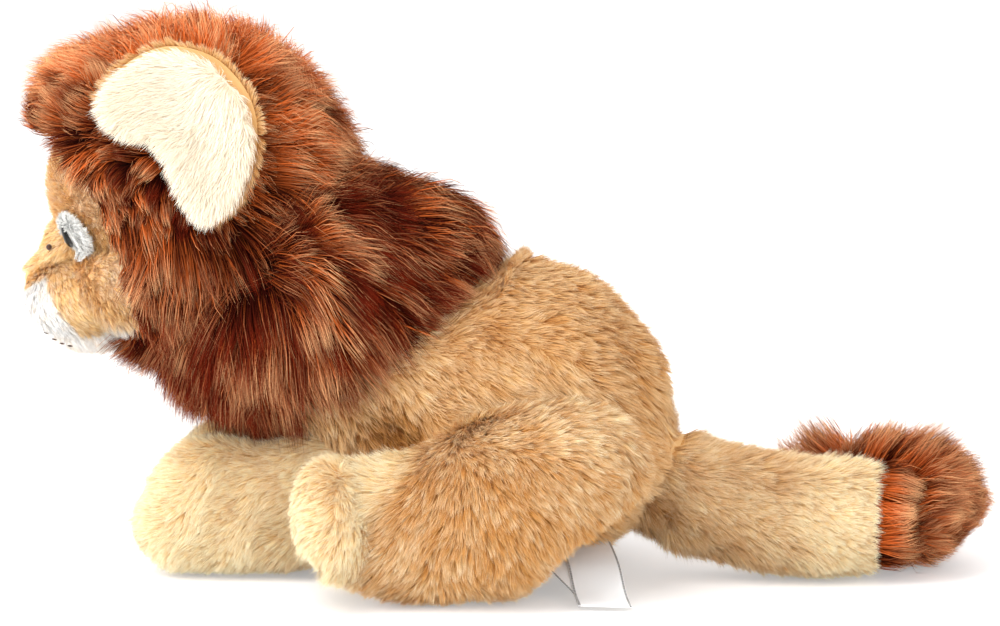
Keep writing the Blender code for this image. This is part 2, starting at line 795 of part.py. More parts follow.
def build_muzzle():
    for word, side in SIDES.items():
        half = cut(on_side(muzzle(), side), face_form(SEAM))
        add_node(f"muzzle_{word}", half, "head", white_plush())
    chin = ellipsoid("chin", CHIN_CENTRE, CHIN_SIZE, None, SMALL_SIDES, SMALL_RINGS)
    add_node("chin", cut(chin, muzzle(SEAM), face_form(SEAM)), "head", white_plush())
    nose = ellipsoid("nose", NOSE_CENTRE, NOSE_SIZE, None, SMALL_SIDES, SMALL_RINGS)
    add_node("nose", cut(nose, muzzle(SEAM), bridge(SEAM)), "head", nose_felt())


def build_head_filling():
    filling = skull(-PLUSH - SEAM)
    for side in SIDES.values():
        cut(filling, eye_bar(side, EYE_STEM_DIAMETER + 4 * SEAM, EYE_STEM_LENGTH, EYE_RISE))
        room = washer_place(side) - eye_axis(side) * SEAM
        cut(filling, disc("room", room, eye_axis(side), WASHER_DIAMETER / 2 + SEAM, PLUSH + OVERRUN))
    add_node("head_filling", cut(filling, neck_room()), "head", stuffing())


def build_head_mane():
    """The long-pile cap round the face, with a pocket for each ear."""
    radius = HEAD_DIAMETER / 2
    outline = [(HEAD_CENTRE.y + y * radius, HEAD_CENTRE.z + z * radius) for y, z in OPENING_SHARES]
    for word, side in SIDES.items():
        mane = ellipsoid("mane", HEAD_CENTRE, HEAD_SIZE)
        join(mane, ellipsoid("crest", CREST_CENTRE, CREST_SIZE, None, LIMB_SIDES, LIMB_RINGS))
        on_side(mane, side)
        cut(mane, prism("opening", outline, FAR))
        cut(mane, keep(face_form(SEAM), face_edge(-SEAM)), skull(-PLUSH))
        cut(mane, *ear_room(side), neck_room())
        add_node(f"head_mane_{word}", mane, "head", mane_fur())


# Ears

def ear_frame(side):
    """The ear's centre, the way it faces and the way it stands."""
    lean = math.radians(EAR_LEAN)
    facing = Vector((side * math.cos(lean), 0, math.sin(lean)))
    standing = Vector((-side * math.sin(lean), 0, math.cos(lean)))
    centre = HEAD_CENTRE + mirrored(by_shares(HEAD_SIZE, EAR_PLACE_SHARES), side)
    return centre, facing, standing


def ear_pivot(side):
    centre, facing, standing = ear_frame(side)
    return centre - standing * EAR_ROOT_SHARE * EAR_HEIGHT


def ear_turn(side):
    return Matrix.Rotation(-side * math.radians(EAR_LEAN), 4, "Y")


def ear_form(side, grow=0.0):
    centre, facing, standing = ear_frame(side)
    return ellipsoid("ear", centre, EAR_SIZE, ear_turn(side), LIMB_SIDES, LIMB_RINGS, grow)


def ear_room(side):
    """The room in the mane for an ear, at rest and as it folds outwards."""
    centre, facing, standing = ear_frame(side)
    room = []
    for share in EAR_FOLD_SHARES:
        swept, moved = ear_form(side, SEWN_GAP), ear_form(side, SEWN_GAP)
        moved.data.transform(Matrix.Translation(facing * EAR_ROOM_SHARE * HEAD_DIAMETER))
        room.append(turned(wrapped([swept, moved]), ear_pivot(side), (0, side, 0), share * EAR_FOLD))
    return room


def build_ears():
    """A tan back and a cream front with a shallow hollow."""
    for word, side in SIDES.items():
        centre, facing, standing = ear_frame(side)
        back = keep(ear_form(side), half_space("back", centre - facing * SEAM / 2, -facing))
        add_node(f"ear_back_{word}", back, f"ear_{word}", tan_plush())
        front = keep(ear_form(side), half_space("front", centre + facing * SEAM / 2, facing))
        middle = centre + facing * HOLLOW_PLACE_SHARE * EAR_THICKNESS
        size = by_shares(EAR_SIZE, HOLLOW_SIZE_SHARES)
        cut(front, ellipsoid("hollow", middle, size, ear_turn(side), LIMB_SIDES, LIMB_RINGS))
        add_node(f"ear_front_{word}", front, f"ear_{word}", cream_plush())


# Forelegs

FORELEG_ROOT = Vector((0, RUMP_Y, 0)) + by_shares(TORSO_SIZE, FORELEG_START_SHARES)


def foreleg_pivot(side):
    return FORELEG_ROOT + mirrored(by_shares(FORELEG_SIZE, FORELEG_PIVOT_SHARES), side)


def foreleg_form(side, grow=0.0):
    path = [
        (side * out * FORELEG_WIDTH, FORELEG_ROOT.y - ahead * FORELEG_LENGTH, above_floor(lift, high, FORELEG_HEIGHT))
        for ahead, out, lift, wide, high in FORELEG_SHARES
    ]
    sizes = [(wide * FORELEG_WIDTH, high * FORELEG_HEIGHT) for ahead, out, lift, wide, high in FORELEG_SHARES]
    return tube("foreleg", path, sizes, FORELEG_ROUND_SHARES, LIMB_SIDES, LIMB_RINGS, grow)


def foreleg_room(side):
    """The torso and mane as the leg sees them over its swing."""
    room = []
    for degrees in (FORELEG_DROP, 0, FORELEG_LIFT):
        for form in (torso, cape):
            room.append(turned(form(SEWN_GAP), foreleg_pivot(side), (1, 0, 0), degrees))
    return room


def build_forelegs():
    for word, side in SIDES.items():
        middle = side * FORELEG_SEAM_SHARE * FORELEG_WIDTH
        for place, way in (("outer", side), ("inner", -side)):
            panel = cut(foreleg_form(side), foreleg_form(side, -PLUSH))
            keep(panel, half_space("half", (middle + way * SEAM / 2, 0, 0), (way, 0, 0)))
            cut(panel, *foreleg_room(side))
            add_node(f"foreleg_{place}_{word}", rest_on_floor(panel), f"foreleg_{word}", tan_plush())
        filling = cut(foreleg_form(side, -PLUSH - SEAM), *foreleg_room(side))
        add_node(f"foreleg_filling_{word}", rest_on_floor(filling), f"foreleg_{word}", stuffing())


# Hind legs

def hind_leg_root(side):
    return Vector((0, RUMP_Y, 0)) + mirrored(by_shares(TORSO_SIZE, HIND_LEG_START_SHARES), side)


def hind_leg_pivot(side):
    return hind_leg_root(side) + by_shares(HIND_LEG_SIZE, HIND_LEG_PIVOT_SHARES)


def hind_leg_path(side):
    root = hind_leg_root(side)
    return [
        Vector((
            root.x + side * out * HIND_LEG_SPREAD,
            root.y - ahead * HIND_LEG_LENGTH,
            above_floor(lift, high, HIND_LEG_HEIGHT),
        ))
        for ahead, out, lift, wide, high in HIND_LEG_SHARES
    ]


def hind_leg_form(side, grow=0.0):
    sizes = [(wide * HIND_LEG_WIDTH, high * HIND_LEG_HEIGHT) for ahead, out, lift, wide, high in HIND_LEG_SHARES]
    return tube("hind_leg", hind_leg_path(side), sizes, HIND_LEG_ROUND_SHARES, LIMB_SIDES, LIMB_RINGS + 1, grow)


def hind_leg_room(side):
    """The torso and mane, the torso as the leg sees it splayed, and the foreleg as it swings beside it."""
    room = [torso(SEWN_GAP), cape(SEWN_GAP)]
    room.append(turned(torso(SEWN_GAP), hind_leg_pivot(side), (0, 0, 1), -side * HIND_LEG_SPLAY))
    for degrees in (FORELEG_DROP, 0, FORELEG_LIFT):
        room.append(turned(foreleg_form(side, SEWN_GAP), foreleg_pivot(side), (1, 0, 0), degrees))
    return room


def sole_plane(side, gap=0.0):
    """The plane of the seam round the sole, facing the way the foot points."""
    path = hind_leg_path(side)
    heading = (path[-1] - path[-2]).normalized()
    return path[-1] - heading * (SOLE_THICKNESS + gap), heading


def build_hind_legs():
    for word, side in SIDES.items():
        path = hind_leg_path(side)
        length = path[-1] - path[0]
        across = side * Vector((-length.y, length.x, 0)).normalized()
        middle = (path[0] + path[-1]) / 2
        for place, way in (("outer", 1), ("inner", -1)):
            panel = cut(hind_leg_form(side), hind_leg_form(side, -PLUSH))
            keep(panel, half_space("half", middle + across * way * SEAM / 2, across * way))
            point, heading = sole_plane(side, SEAM)
            keep(panel, half_space("foot", point, -heading))
            cut(panel, *hind_leg_room(side))
            add_node(f"hind_leg_{place}_{word}", rest_on_floor(panel), f"hind_leg_{word}", tan_plush())
        point, heading = sole_plane(side)
        sole = keep(hind_leg_form(side), half_space("sole", point, heading))
        add_node(f"foot_sole_{word}", rest_on_floor(sole), f"hind_leg_{word}", cream_plush())
        filling = keep(hind_leg_form(side, -PLUSH - SEAM), half_space("stop", point - heading * SEAM, -heading))
        cut(filling, *hind_leg_room(side))
        add_node(f"hind_leg_filling_{word}", rest_on_floor(filling), f"hind_leg_{word}", stuffing())


# Tail

TAIL_ROOT = Vector((0, RUMP_Y, 0)) + by_shares(TAIL_SIZE, TAIL_START_SHARES)


def tail_path():
    return [
        (curl * TAIL_DIAMETER, TAIL_ROOT.y + back * TAIL_LENGTH, above_floor(lift, high, TAIL_DIAMETER))
        for back, curl, lift, wide, high in TAIL_SHARES
    ]


def tail_root(grow=0.0):
    """The ball-shaped end of the tail that sits in the rump."""
    return ellipsoid("tail_root", TAIL_ROOT, TAIL_SIZE, UPRIGHT, BODY_SIDES, SMALL_RINGS, grow)


def tail_tube(grow=0.0):
    sizes = [(wide * TAIL_DIAMETER, high * TAIL_DIAMETER) for back, curl, lift, wide, high in TAIL_SHARES]
    return tube("tail", tail_path(), sizes, TAIL_ROUND_SHARES, LIMB_SIDES, LIMB_RINGS, grow)


def tail_form(grow=0.0):
    """The tube behind the rump, which leaves it room to wag, joined to its ball-shaped root."""
    return join(cut(tail_tube(grow), torso(TAIL_ROOM - grow)), tail_root(grow))


def build_tail():
    """Two long halves round the stuffing, and the tuft that closes round the end of the tail."""
    middle = TAIL_SEAM_SHARE * TAIL_DIAMETER
    for place, way in (("top", 1), ("bottom", -1)):
        panel = cut(tail_form(), tail_form(-PLUSH))
        keep(panel, half_space("half", (0, 0, middle + way * SEAM / 2), (0, 0, way)))
        add_node(f"tail_{place}_panel", rest_on_floor(panel), "tail", tan_plush())
    add_node("tail_filling", rest_on_floor(tail_form(-PLUSH - SEAM)), "tail", stuffing())
    tip = Vector(tail_path()[-1])
    centre = Vector((tip.x, tip.y, -FLAT)) + by_shares(TUFT_SIZE, TUFT_PLACE_SHARES)
    tuft = ellipsoid("tuft", centre, TUFT_SIZE, None, BODY_SIDES, LIMB_RINGS)
    add_node("tail_tuft", rest_on_floor(cut(tuft, tail_tube(SEAM))), "tail", mane_fur())


# Label

def build_label():
    """A bare loop of satin that comes out of the seam of the flank and lies down on the floor."""
    start = Vector((0, RUMP_Y, LABEL_THICKNESS + LABEL_DROP)) + by_shares(TORSO_SIZE, LABEL_START_SHARES)
    route = read_along(LABEL_SHARES, np.linspace(0, 1, LABEL_ROWS)) * (LABEL_REACH, -LABEL_DROP)
    heading = np.gradient(route, axis=0)
    heading /= np.linalg.norm(heading, axis=1)[:, None]
    points = []
    for (out, rise), (along, climb) in zip(route, heading):
        for edge in (-1, 1):
            for face in (-1, 1):
                lift = face * LABEL_THICKNESS / 2
                points.append(start + Vector((out - climb * lift, edge * LABEL_WIDTH / 2, rise + along * lift)))
    faces = [(0, 1, 3, 2)]
    for a in range(0, len(points) - 4, 4):
        b = a + 4
        faces += [(a, b, b + 1, a + 1), (a + 1, b + 1, b + 3, a + 3), (a + 3, b + 3, b + 2, a + 2), (a + 2, b + 2, b, a)]
    last = len(points) - 4
    faces.append((last, last + 2, last + 3, last + 1))
    add_node("sewn_label", cut(new_object("label", points, faces), torso(SEAM)), "root", label_satin())


def main():
    clear_scene()
    add_body("root", (0, 0, 0))
    add_body("neck", HEAD_CENTRE, "root")
    add_body("head", HEAD_CENTRE, "neck")
    for word, side in SIDES.items():
        add_body(f"ear_{word}", ear_pivot(side), "head")
        add_body(f"foreleg_{word}", foreleg_pivot(side), "root")
        add_body(f"hind_leg_{word}", hind_leg_pivot(side), "root")
    add_body("tail", TAIL_ROOT, "root")
    build_torso()
    build_shoulder_mane()
    build_neck()
    build_face()
    build_eyes()
    build_muzzle()
    build_head_filling()
    build_head_mane()
    build_ears()
    build_forelegs()
    build_hind_legs()
    build_tail()
    build_label()


main()
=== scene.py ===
# %% [markdown]
# # A plush lion lying on its belly
# The lion is a stuffed toy: cloth panels sewn over stuffing, with a short pile on the body and a long pile for the
# mane. Its solids come from model.glb, so this lesson makes what the eye sees: the skins, the fur, the glossy eyes,
# the felt nose and the sewn-in label.
# Blender has a hair system, but its hairs are curves that many other programs drop.
# Here each strand is a narrow ribbon of a few triangles, worked out with numpy, so the fur is plain mesh.

import bpy
import numpy as np
from mathutils import Matrix, Vector


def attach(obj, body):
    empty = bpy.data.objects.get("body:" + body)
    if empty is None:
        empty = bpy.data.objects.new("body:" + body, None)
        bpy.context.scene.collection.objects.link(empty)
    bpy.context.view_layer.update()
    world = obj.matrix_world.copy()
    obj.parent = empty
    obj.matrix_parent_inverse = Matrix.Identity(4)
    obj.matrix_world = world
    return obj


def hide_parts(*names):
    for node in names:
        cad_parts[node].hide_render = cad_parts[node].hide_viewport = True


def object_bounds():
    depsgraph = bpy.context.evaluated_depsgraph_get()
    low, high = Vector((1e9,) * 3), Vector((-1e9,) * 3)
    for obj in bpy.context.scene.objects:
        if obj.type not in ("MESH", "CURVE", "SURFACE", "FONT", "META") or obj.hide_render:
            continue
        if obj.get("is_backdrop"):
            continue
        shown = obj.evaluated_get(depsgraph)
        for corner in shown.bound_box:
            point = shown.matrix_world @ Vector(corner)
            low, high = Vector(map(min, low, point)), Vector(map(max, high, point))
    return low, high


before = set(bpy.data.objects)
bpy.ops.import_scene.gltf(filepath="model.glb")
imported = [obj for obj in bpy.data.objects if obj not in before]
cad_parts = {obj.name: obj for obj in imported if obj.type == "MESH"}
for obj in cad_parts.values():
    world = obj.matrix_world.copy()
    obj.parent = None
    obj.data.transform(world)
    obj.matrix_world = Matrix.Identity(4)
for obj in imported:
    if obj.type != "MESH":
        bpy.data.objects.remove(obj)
cad_box = [list(corner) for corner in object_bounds()]

# %% [markdown]
# ## The camera
# The photograph looks at the lion's left side from slightly behind its shoulder and from a little above.
# A long lens keeps the near hind leg from looking too big, so the camera stands over a metre away.

# %% Camera
IMAGE_WIDTH = 1000
LOOK_AT = np.array([0, 0, 0.092])
AZIMUTH, ELEVATION = np.radians([97, 8])
DISTANCE = 1.15
PIXEL = 0.00035


def look_from(azimuth, elevation, distance, target):
    """The place at a distance from the target: azimuth turns it left of the lion's nose, elevation raises it."""
    way = [np.sin(azimuth) * np.cos(elevation), -np.cos(azimuth) * np.cos(elevation), np.sin(elevation)]
    return target + distance * np.array(way)


lens = bpy.data.cameras.new("camera")
lens.sensor_width = 36
lens.lens = lens.sensor_width * DISTANCE / (PIXEL * IMAGE_WIDTH)
camera = bpy.data.objects.new("camera", lens)
camera.location = look_from(AZIMUTH, ELEVATION, DISTANCE, LOOK_AT)
camera.rotation_euler = (np.pi / 2 - ELEVATION, 0, AZIMUTH)
bpy.context.scene.collection.objects.link(camera)
bpy.context.scene.camera = camera
print(f"camera with a {lens.lens:.0f} mm lens")

# %% [markdown]
# ## Two kinds of stuffed form
# Every part of the toy swells under its cloth in one of two ways: a ball, such as the head, or a tube, such as a leg.
# Both can be written as a grid of points with two parameters: one runs from one end to the other, one runs around.
# A grid keeps its rings in order, which makes its faces, its normals and the places for the fur easy to work out.

# %% A smooth curve through a table
def read_along(rows, shares):
    """Values at shares from 0 to 1 of a table of evenly spaced rows, on a smooth curve through the rows:
    half of (2b + (c - a)u + (2a - 5b + 4c - d)u^2 + (3b - a - 3c + d)u^3) between the rows b and c."""
    rows = np.asarray(rows, float)
    last = len(rows) - 1
    place = np.clip(shares, 0, 1) * last
    start = np.minimum(place.astype(int), last - 1)
    u = (place - start)[:, None]
    padded = np.vstack([2 * rows[0] - rows[1], rows, 2 * rows[-1] - rows[-2]])
    a, b, c, d = (padded[start + k] for k in range(4))
    return 0.5 * (2 * b + (c - a) * u + (2 * a - 5 * b + 4 * c - d) * u**2 + (3 * b - a - 3 * c + d) * u**3)


def unit(vectors):
    """Each vector divided by its length."""
    return vectors / np.maximum(np.linalg.norm(vectors, axis=-1, keepdims=True), 1e-12)


print("a quarter along an arch of three points:", read_along([(0, 0), (1, 1), (2, 0)], np.array([0.25]))[0].round(2))

# %% Balls and tubes
def ball(centre, size, tilt=0.0, lean=0.0):
    """An ellipsoid of the given full size, tilted about X and leant about Y, in degrees."""
    turn = Matrix.Rotation(np.radians(tilt), 3, "X") @ Matrix.Rotation(np.radians(lean), 3, "Y")
    return {"centre": np.array(centre, float), "half": np.array(size) / 2, "turn": np.array(turn)}


def tube(path, sizes, ends):
    """A tube: ellipses with the given half sizes along a path, rounded over a share of it at either end."""
    return {"path": np.array(path, float), "sizes": np.array(sizes, float), "ends": ends}


def stations(form, shares):
    """Middles, axes and half sizes of a tube at some shares of its path.
    Near an end each half size falls as a quarter ellipse: sqrt(1 - (1 - share / end)^2)."""
    step = 1e-3
    heading = unit(read_along(form["path"], shares + step) - read_along(form["path"], shares - step))
    across = unit(np.cross(heading, (0, 0, 1)))
    start, end = (np.clip(x, 0, 1) for x in (shares / form["ends"][0], (1 - shares) / form["ends"][1]))
    rounding = np.sqrt(1 - (1 - start) ** 2) * np.sqrt(1 - (1 - end) ** 2)
    half = read_along(form["sizes"], shares) * rounding[:, None]
    return read_along(form["path"], shares), heading, across, np.cross(across, heading), half


def surface(form, rings, sides):
    """The form's grid of points, rings by sides, whose first and last rings are single points.
    A ball is centre + half * (sin a cos b, cos a, sin a sin b); a tube is middle + wide cos b + high sin b."""
    a = np.linspace(0, np.pi, rings)
    b = 2 * np.pi * np.arange(sides) / sides
    if "path" in form:
        middle, heading, across, rise, half = stations(form, (1 - np.cos(a)) / 2)
        wide = (half[:, :1] * across)[:, None] * np.cos(b)[None, :, None]
        high = (half[:, 1:] * rise)[:, None] * np.sin(b)[None, :, None]
        return middle[:, None] + wide + high
    pairs = [(np.sin(a), np.cos(b)), (np.cos(a), np.ones(sides)), (np.sin(a), np.sin(b))]
    round_it = np.stack([np.outer(along, around) for along, around in pairs], -1)
    return form["centre"] + (round_it * form["half"]) @ form["turn"].T


def outward(grid):
    """The grid's normals: the cross product of its two directions, with the mean of the next ring at either end."""
    around = np.roll(grid, -1, axis=1) - np.roll(grid, 1, axis=1)
    normals = unit(np.cross(np.gradient(grid, axis=0), around))
    for pole, ring in ((0, 1), (-1, -2)):
        normals[pole] = unit(normals[ring].mean(0))
    middle = grid.mean((0, 1))
    return normals if ((grid - middle) * normals).sum() > 0 else -normals


def holds(form, points, room=0.0):
    """Which points are inside the form, grown by some room: their shares of its half sizes, squared, sum to under 1."""
    if "path" in form:
        middle, heading, across, rise, half = stations(form, np.linspace(0, 1, 81))
        nearest = np.abs(points @ heading.T - (middle * heading).sum(-1)).argmin(1)
        reach, half = points - middle[nearest], half[nearest] + room
        gap = np.abs((reach * heading[nearest]).sum(-1)) < 0.004
        wide = (reach * across[nearest]).sum(-1) / np.maximum(half[:, 0], 1e-9)
        high = (reach * rise[nearest]).sum(-1) / np.maximum(half[:, 1], 1e-9)
        return gap & (wide**2 + high**2 < 1)
    return ((((points - form["centre"]) @ form["turn"]) / (form["half"] + room)) ** 2).sum(-1) < 1


marble = ball((0, 0, 0), (0.02, 0.02, 0.02))
print("a marble as a grid of rings, sides and X, Y, Z:", surface(marble, 9, 12).shape)

# %% [markdown]
# ## The lion's forms
# The numbers are the ones the toy's pattern uses, so each skin lies just under the surface of the solid it stands for.
# They could be measured off the solids, but a table of shares is easier to read and to change than a list of metres:
# each row is one place on a leg's middle line, with how far ahead it is, how far out, how high, and its half sizes.

# %% Torso
RUMP, REACH, FLAT = 0.066, 0.175, 0.0005
TORSO_WIDTH, TORSO_HEIGHT = 0.100, 0.119
HEAD = np.array([0, RUMP - REACH, 0.133])


def laid(lift, half, height):
    """The height of a form's middle whose underside is lifted off the floor by a share of its height."""
    return (lift + half) * height - FLAT


TORSO_SHARES = [
    (0.0, 0.0, 0.42, 0.35), (0.126, 0.0, 0.46, 0.415), (0.274, 0.0, 0.50, 0.469),
    (0.446, 0.0, 0.49, 0.504), (0.617, 0.28, 0.44, 0.35), (0.789, 0.47, 0.38, 0.32),
]
torso_line = [(0, RUMP - ahead * REACH, laid(lift, high, TORSO_HEIGHT)) for ahead, lift, wide, high in TORSO_SHARES]
torso_sizes = [(wide * TORSO_WIDTH, high * TORSO_HEIGHT) for ahead, lift, wide, high in TORSO_SHARES]
torso = tube(torso_line + [tuple(HEAD)], torso_sizes + [(0.034, 0.0357)], (0.24, 0.05))
print(f"a torso {REACH * 1000:.0f} mm long")

# %% Legs
SIDES = {"left": 1, "right": -1}
SHOULDER, FORELEG_LENGTH, FORELEG_WIDTH, FORELEG_HEIGHT = -0.0301, 0.097, 0.041, 0.053
HIP, KNEE_OUT, FOOT_OUT = 0.058, 0.036, 0.029
HIND_LEG_LENGTH, HIND_LEG_WIDTH, HIND_LEG_HEIGHT = 0.113, 0.054, 0.072
FORELEG_SHARES = [
    (0.0, 0.51, 0.07, 0.34, 0.45), (0.24, 0.50, 0.09, 0.40, 0.48), (0.5, 0.49, 0.02, 0.415, 0.475),
    (0.74, 0.50, 0.0, 0.476, 0.50), (1.0, 0.50, 0.0, 0.463, 0.47),
]
HIND_LEG_SHARES = [
    (0.0, 0.0, 0.287, 0.40, 0.36), (0.21, 0.28, 0.212, 0.52, 0.425), (0.44, 0.50, 0.01, 0.53, 0.482),
    (0.67, 0.70, 0.0, 0.41, 0.395), (0.85, 0.80, 0.0, 0.37, 0.368), (1.0, 1.0, 0.0, 0.39, 0.368),
]
foreleg, hind_leg = {}, {}
for word, side in SIDES.items():
    foreleg[word] = tube(
        [
            (side * out * FORELEG_WIDTH, SHOULDER - ahead * FORELEG_LENGTH, laid(lift, high, FORELEG_HEIGHT))
            for ahead, out, lift, wide, high in FORELEG_SHARES
        ],
        [(wide * FORELEG_WIDTH, high * FORELEG_HEIGHT) for ahead, out, lift, wide, high in FORELEG_SHARES],
        (0.24, 0.20),
    )
    hind_leg[word] = tube(
        [
            (side * (KNEE_OUT + out * FOOT_OUT), HIP - ahead * HIND_LEG_LENGTH, laid(lift, high, HIND_LEG_HEIGHT))
            for ahead, out, lift, wide, high in HIND_LEG_SHARES
        ],
        [(wide * HIND_LEG_WIDTH, high * HIND_LEG_HEIGHT) for ahead, out, lift, wide, high in HIND_LEG_SHARES],
        (0.34, 0.05),
    )
print(f"forelegs {FORELEG_LENGTH * 1000:.0f} mm and hind legs {HIND_LEG_LENGTH * 1000:.0f} mm long")

# %% Tail, head and mane
TAIL_SHARES = [
    (-0.10, 0.0, 0.25, 0.50, 0.50), (0.25, 0.0, 0.11, 0.50, 0.50), (0.55, 0.0, 0.01, 0.50, 0.51),
    (0.8, -0.08, 0.02, 0.47, 0.49), (1.0, -0.34, 0.06, 0.42, 0.44),
]
TAIL_START, TAIL_LENGTH, TAIL_SIZE = 0.0603, 0.0805, 0.044
tail = tube(
    [
        (curl * TAIL_SIZE, TAIL_START + back * TAIL_LENGTH, laid(lift, high, TAIL_SIZE))
        for back, curl, lift, wide, high in TAIL_SHARES
    ],
    [(wide * TAIL_SIZE, high * TAIL_SIZE) for back, curl, lift, wide, high in TAIL_SHARES],
    (0.12, 0.24),
)
tail_root = ball((0, TAIL_START, 0.033), (TAIL_SIZE, TAIL_SIZE, TAIL_SIZE))
tuft = ball((-0.0284, 0.1388, 0.021), (0.084, 0.068, 0.043))
cape = ball((0, -0.0622, 0.1029), (0.116, 0.130, 0.094), tilt=19)
HEAD_SIZE = 0.124
mane_ball = ball(HEAD, (HEAD_SIZE, HEAD_SIZE, HEAD_SIZE))
crest = ball((0, -0.1338, 0.1611), (0.090, 0.075, 0.055))
skull = ball((0, -0.1119, 0.1370), (0.086, 0.097, 0.072))
cheeks = ball((0, -0.1222, 0.1038), (0.072, 0.064, 0.048))
muzzle = ball((0, -0.1490, 0.0979), (0.048, 0.044, 0.033))
bridge = ball((0, -0.1499, 0.1099), (0.020, 0.044, 0.016), tilt=25)
nose_back = ball((0, -0.1532, 0.1125), (0.021, 0.036, 0.018), tilt=69)
chin = ball((0, -0.1460, 0.0839), (0.026, 0.030, 0.018))
print("tail, tuft, mane, crest, face and muzzle")

# %% [markdown]
# ## Fur
# The toy's fur is thousands of soft strands that all leave the cloth at a low angle and lie the way they were brushed.
# A strand here is a ribbon that starts at a root on the skin, follows the flow and bows over under its own weight.
# Long pile sticks together in pointed clumps, so each strand is drawn towards a leader, more so at its tip.
# A strand's colour is stored in its UV map: across is its tone, from dark to pale, and up is the way from root to tip.

# %% Roots on a skin
SEED = 20
rng = np.random.default_rng(SEED)


def scatter(grid, normals, count):
    """Roots spread evenly over a grid: cells are picked by their area, and a root lies at random within its cell."""
    corners = [grid[:-1], np.roll(grid, -1, 1)[:-1], np.roll(grid, -1, 1)[1:], grid[1:]]
    area = np.linalg.norm(np.cross(corners[2] - corners[0], corners[3] - corners[1]), axis=-1).ravel()
    cell = rng.choice(area.size, count, p=area / area.sum())
    u, v = rng.random((2, count, 1))
    weights = [(1 - u) * (1 - v), u * (1 - v), u * v, (1 - u) * v]
    tops = [normals[:-1], np.roll(normals, -1, 1)[:-1], np.roll(normals, -1, 1)[1:], normals[1:]]
    roots = sum(w * c.reshape(-1, 3)[cell] for w, c in zip(weights, corners))
    return roots, unit(sum(w * c.reshape(-1, 3)[cell] for w, c in zip(weights, tops)))


print("each run draws the same strands, from seed", SEED)

# %% Blotches and directions
def mottle(points, size):
    """Soft blotches from -1 to 1 of about the given size: the sum of six sine waves that cross in all directions."""
    waves = unit(np.random.default_rng(3).normal(size=(6, 3))) * 2 * np.pi / size
    return np.sin(points @ waves.T + np.arange(6)).sum(1) / 3.5


def wander(points, size):
    """A direction that drifts smoothly over the cloth: one set of soft blotches for each of X, Y and Z."""
    return np.stack([mottle(points + shift, size) for shift in (0.0, 0.31, 0.67)], -1)


def along_cloth(direction, normals):
    """The part of a direction that lies along the cloth, as a unit vector."""
    return unit(direction - (direction * normals).sum(-1, keepdims=True) * normals)


def ease(value, start, end):
    """A number that goes smoothly from 0 at the start to 1 at the end: t^2 * (3 - 2t)."""
    t = np.clip((value - start) / (end - start), 0, 1)
    return t * t * (3 - 2 * t)


print("from 0 to 1 in five steps:", ease(np.linspace(0, 1, 5), 0, 1).round(2))

# %% Strands and clumps
def nearest_leader(roots, leaders):
    """For each root the number of the closest leader: the least of |leader|^2 - 2 root . leader,
    taken a few thousand roots at a time to spare memory."""
    size = (leaders**2).sum(1)
    parts = np.array_split(roots, max(1, len(roots) // 4000))
    return np.concatenate([(size - 2 * part @ leaders.T).argmin(1) for part in parts])


def strands(roots, normals, flow, length, lift, sag, clump, gather, joints, stray=0.22):
    """Points along each strand at t from 0 to 1: root + length * (t * start + t^2 * bow).
    start rises from the flow by the lift angle, bow leans back to the cloth and sags, and then
    each point moves towards the same point of its clump's leader by gather * t^1.5."""
    count = len(roots)
    angle = np.radians(lift) * rng.uniform(0.7, 1.3, (count, 1))
    start = np.cos(angle) * unit(flow + rng.normal(0, stray, (count, 3))) + np.sin(angle) * normals
    bow = -0.45 * np.sin(angle) * normals + sag * np.array([0, 0, -1.0])
    t = np.linspace(0, 1, joints + 1)[None, :, None]
    size = (length * rng.uniform(0.75, 1.15, count))[:, None, None]
    points = roots[:, None] + size * (t * start[:, None] + t**2 * bow[:, None])
    leader = rng.choice(count, min(clump, count), replace=False)
    closest = leader[nearest_leader(roots, roots[leader])]
    return points + gather * t**1.5 * (points[closest] - points), closest


two_roots, two_leaders = np.array([[0, 0, 0], [1, 0, 0.0]]), np.array([[0.9, 0, 0], [0.1, 0, 0]])
print("the leaders of two roots:", nearest_leader(two_roots, two_leaders).tolist())

# %% Ribbons and their colour chart
def ribbons(points, normals, width):
    """Vertices and triangles of a ribbon along each strand. It narrows as 1 - t^1.6 to a point,
    and it is rolled by a random angle, so that some ribbons show from every side."""
    count, steps = points.shape[:2]
    ahead = unit(np.gradient(points, axis=1))
    across = unit(np.cross(ahead, normals[:, None]))
    roll = rng.normal(0, 0.6, (count, 1, 1))
    side = np.cos(roll) * across + np.sin(roll) * np.cross(across, ahead)
    t = np.linspace(0, 1, steps)[None, :, None]
    half = side * (1 - t**1.6) * (width / 2 * rng.uniform(0.7, 1.3, count))[:, None, None]
    pairs = np.stack([points - half, points + half], 2).reshape(count, -1, 3)[:, :-1]
    k = 2 * np.arange(steps - 2)
    quads = np.concatenate([np.stack([k, k + 1, k + 3], 1), np.stack([k, k + 3, k + 2], 1)])
    pattern = np.vstack([quads, [[2 * steps - 4, 2 * steps - 3, 2 * steps - 2]]])
    faces = pattern[None] + (np.arange(count) * (2 * steps - 1))[:, None, None]
    return pairs.reshape(-1, 3), faces.reshape(-1, 3)


def ribbon_chart(tone, steps):
    """The UV of each ribbon vertex: its tone, half a step to either side, and its way from root to tip."""
    t = np.linspace(0, 1, steps)
    across = np.tile([-0.006, 0.006], steps)[:-1]
    u = np.clip(tone[:, None], 0.01, 0.99) + across
    return np.stack([u, np.broadcast_to(np.repeat(t, 2)[:-1] * 0.98 + 0.01, u.shape)], -1).reshape(-1, 2)


print("the chart of a one-triangle strand:", ribbon_chart(np.array([0.5]), 2).round(2).tolist())

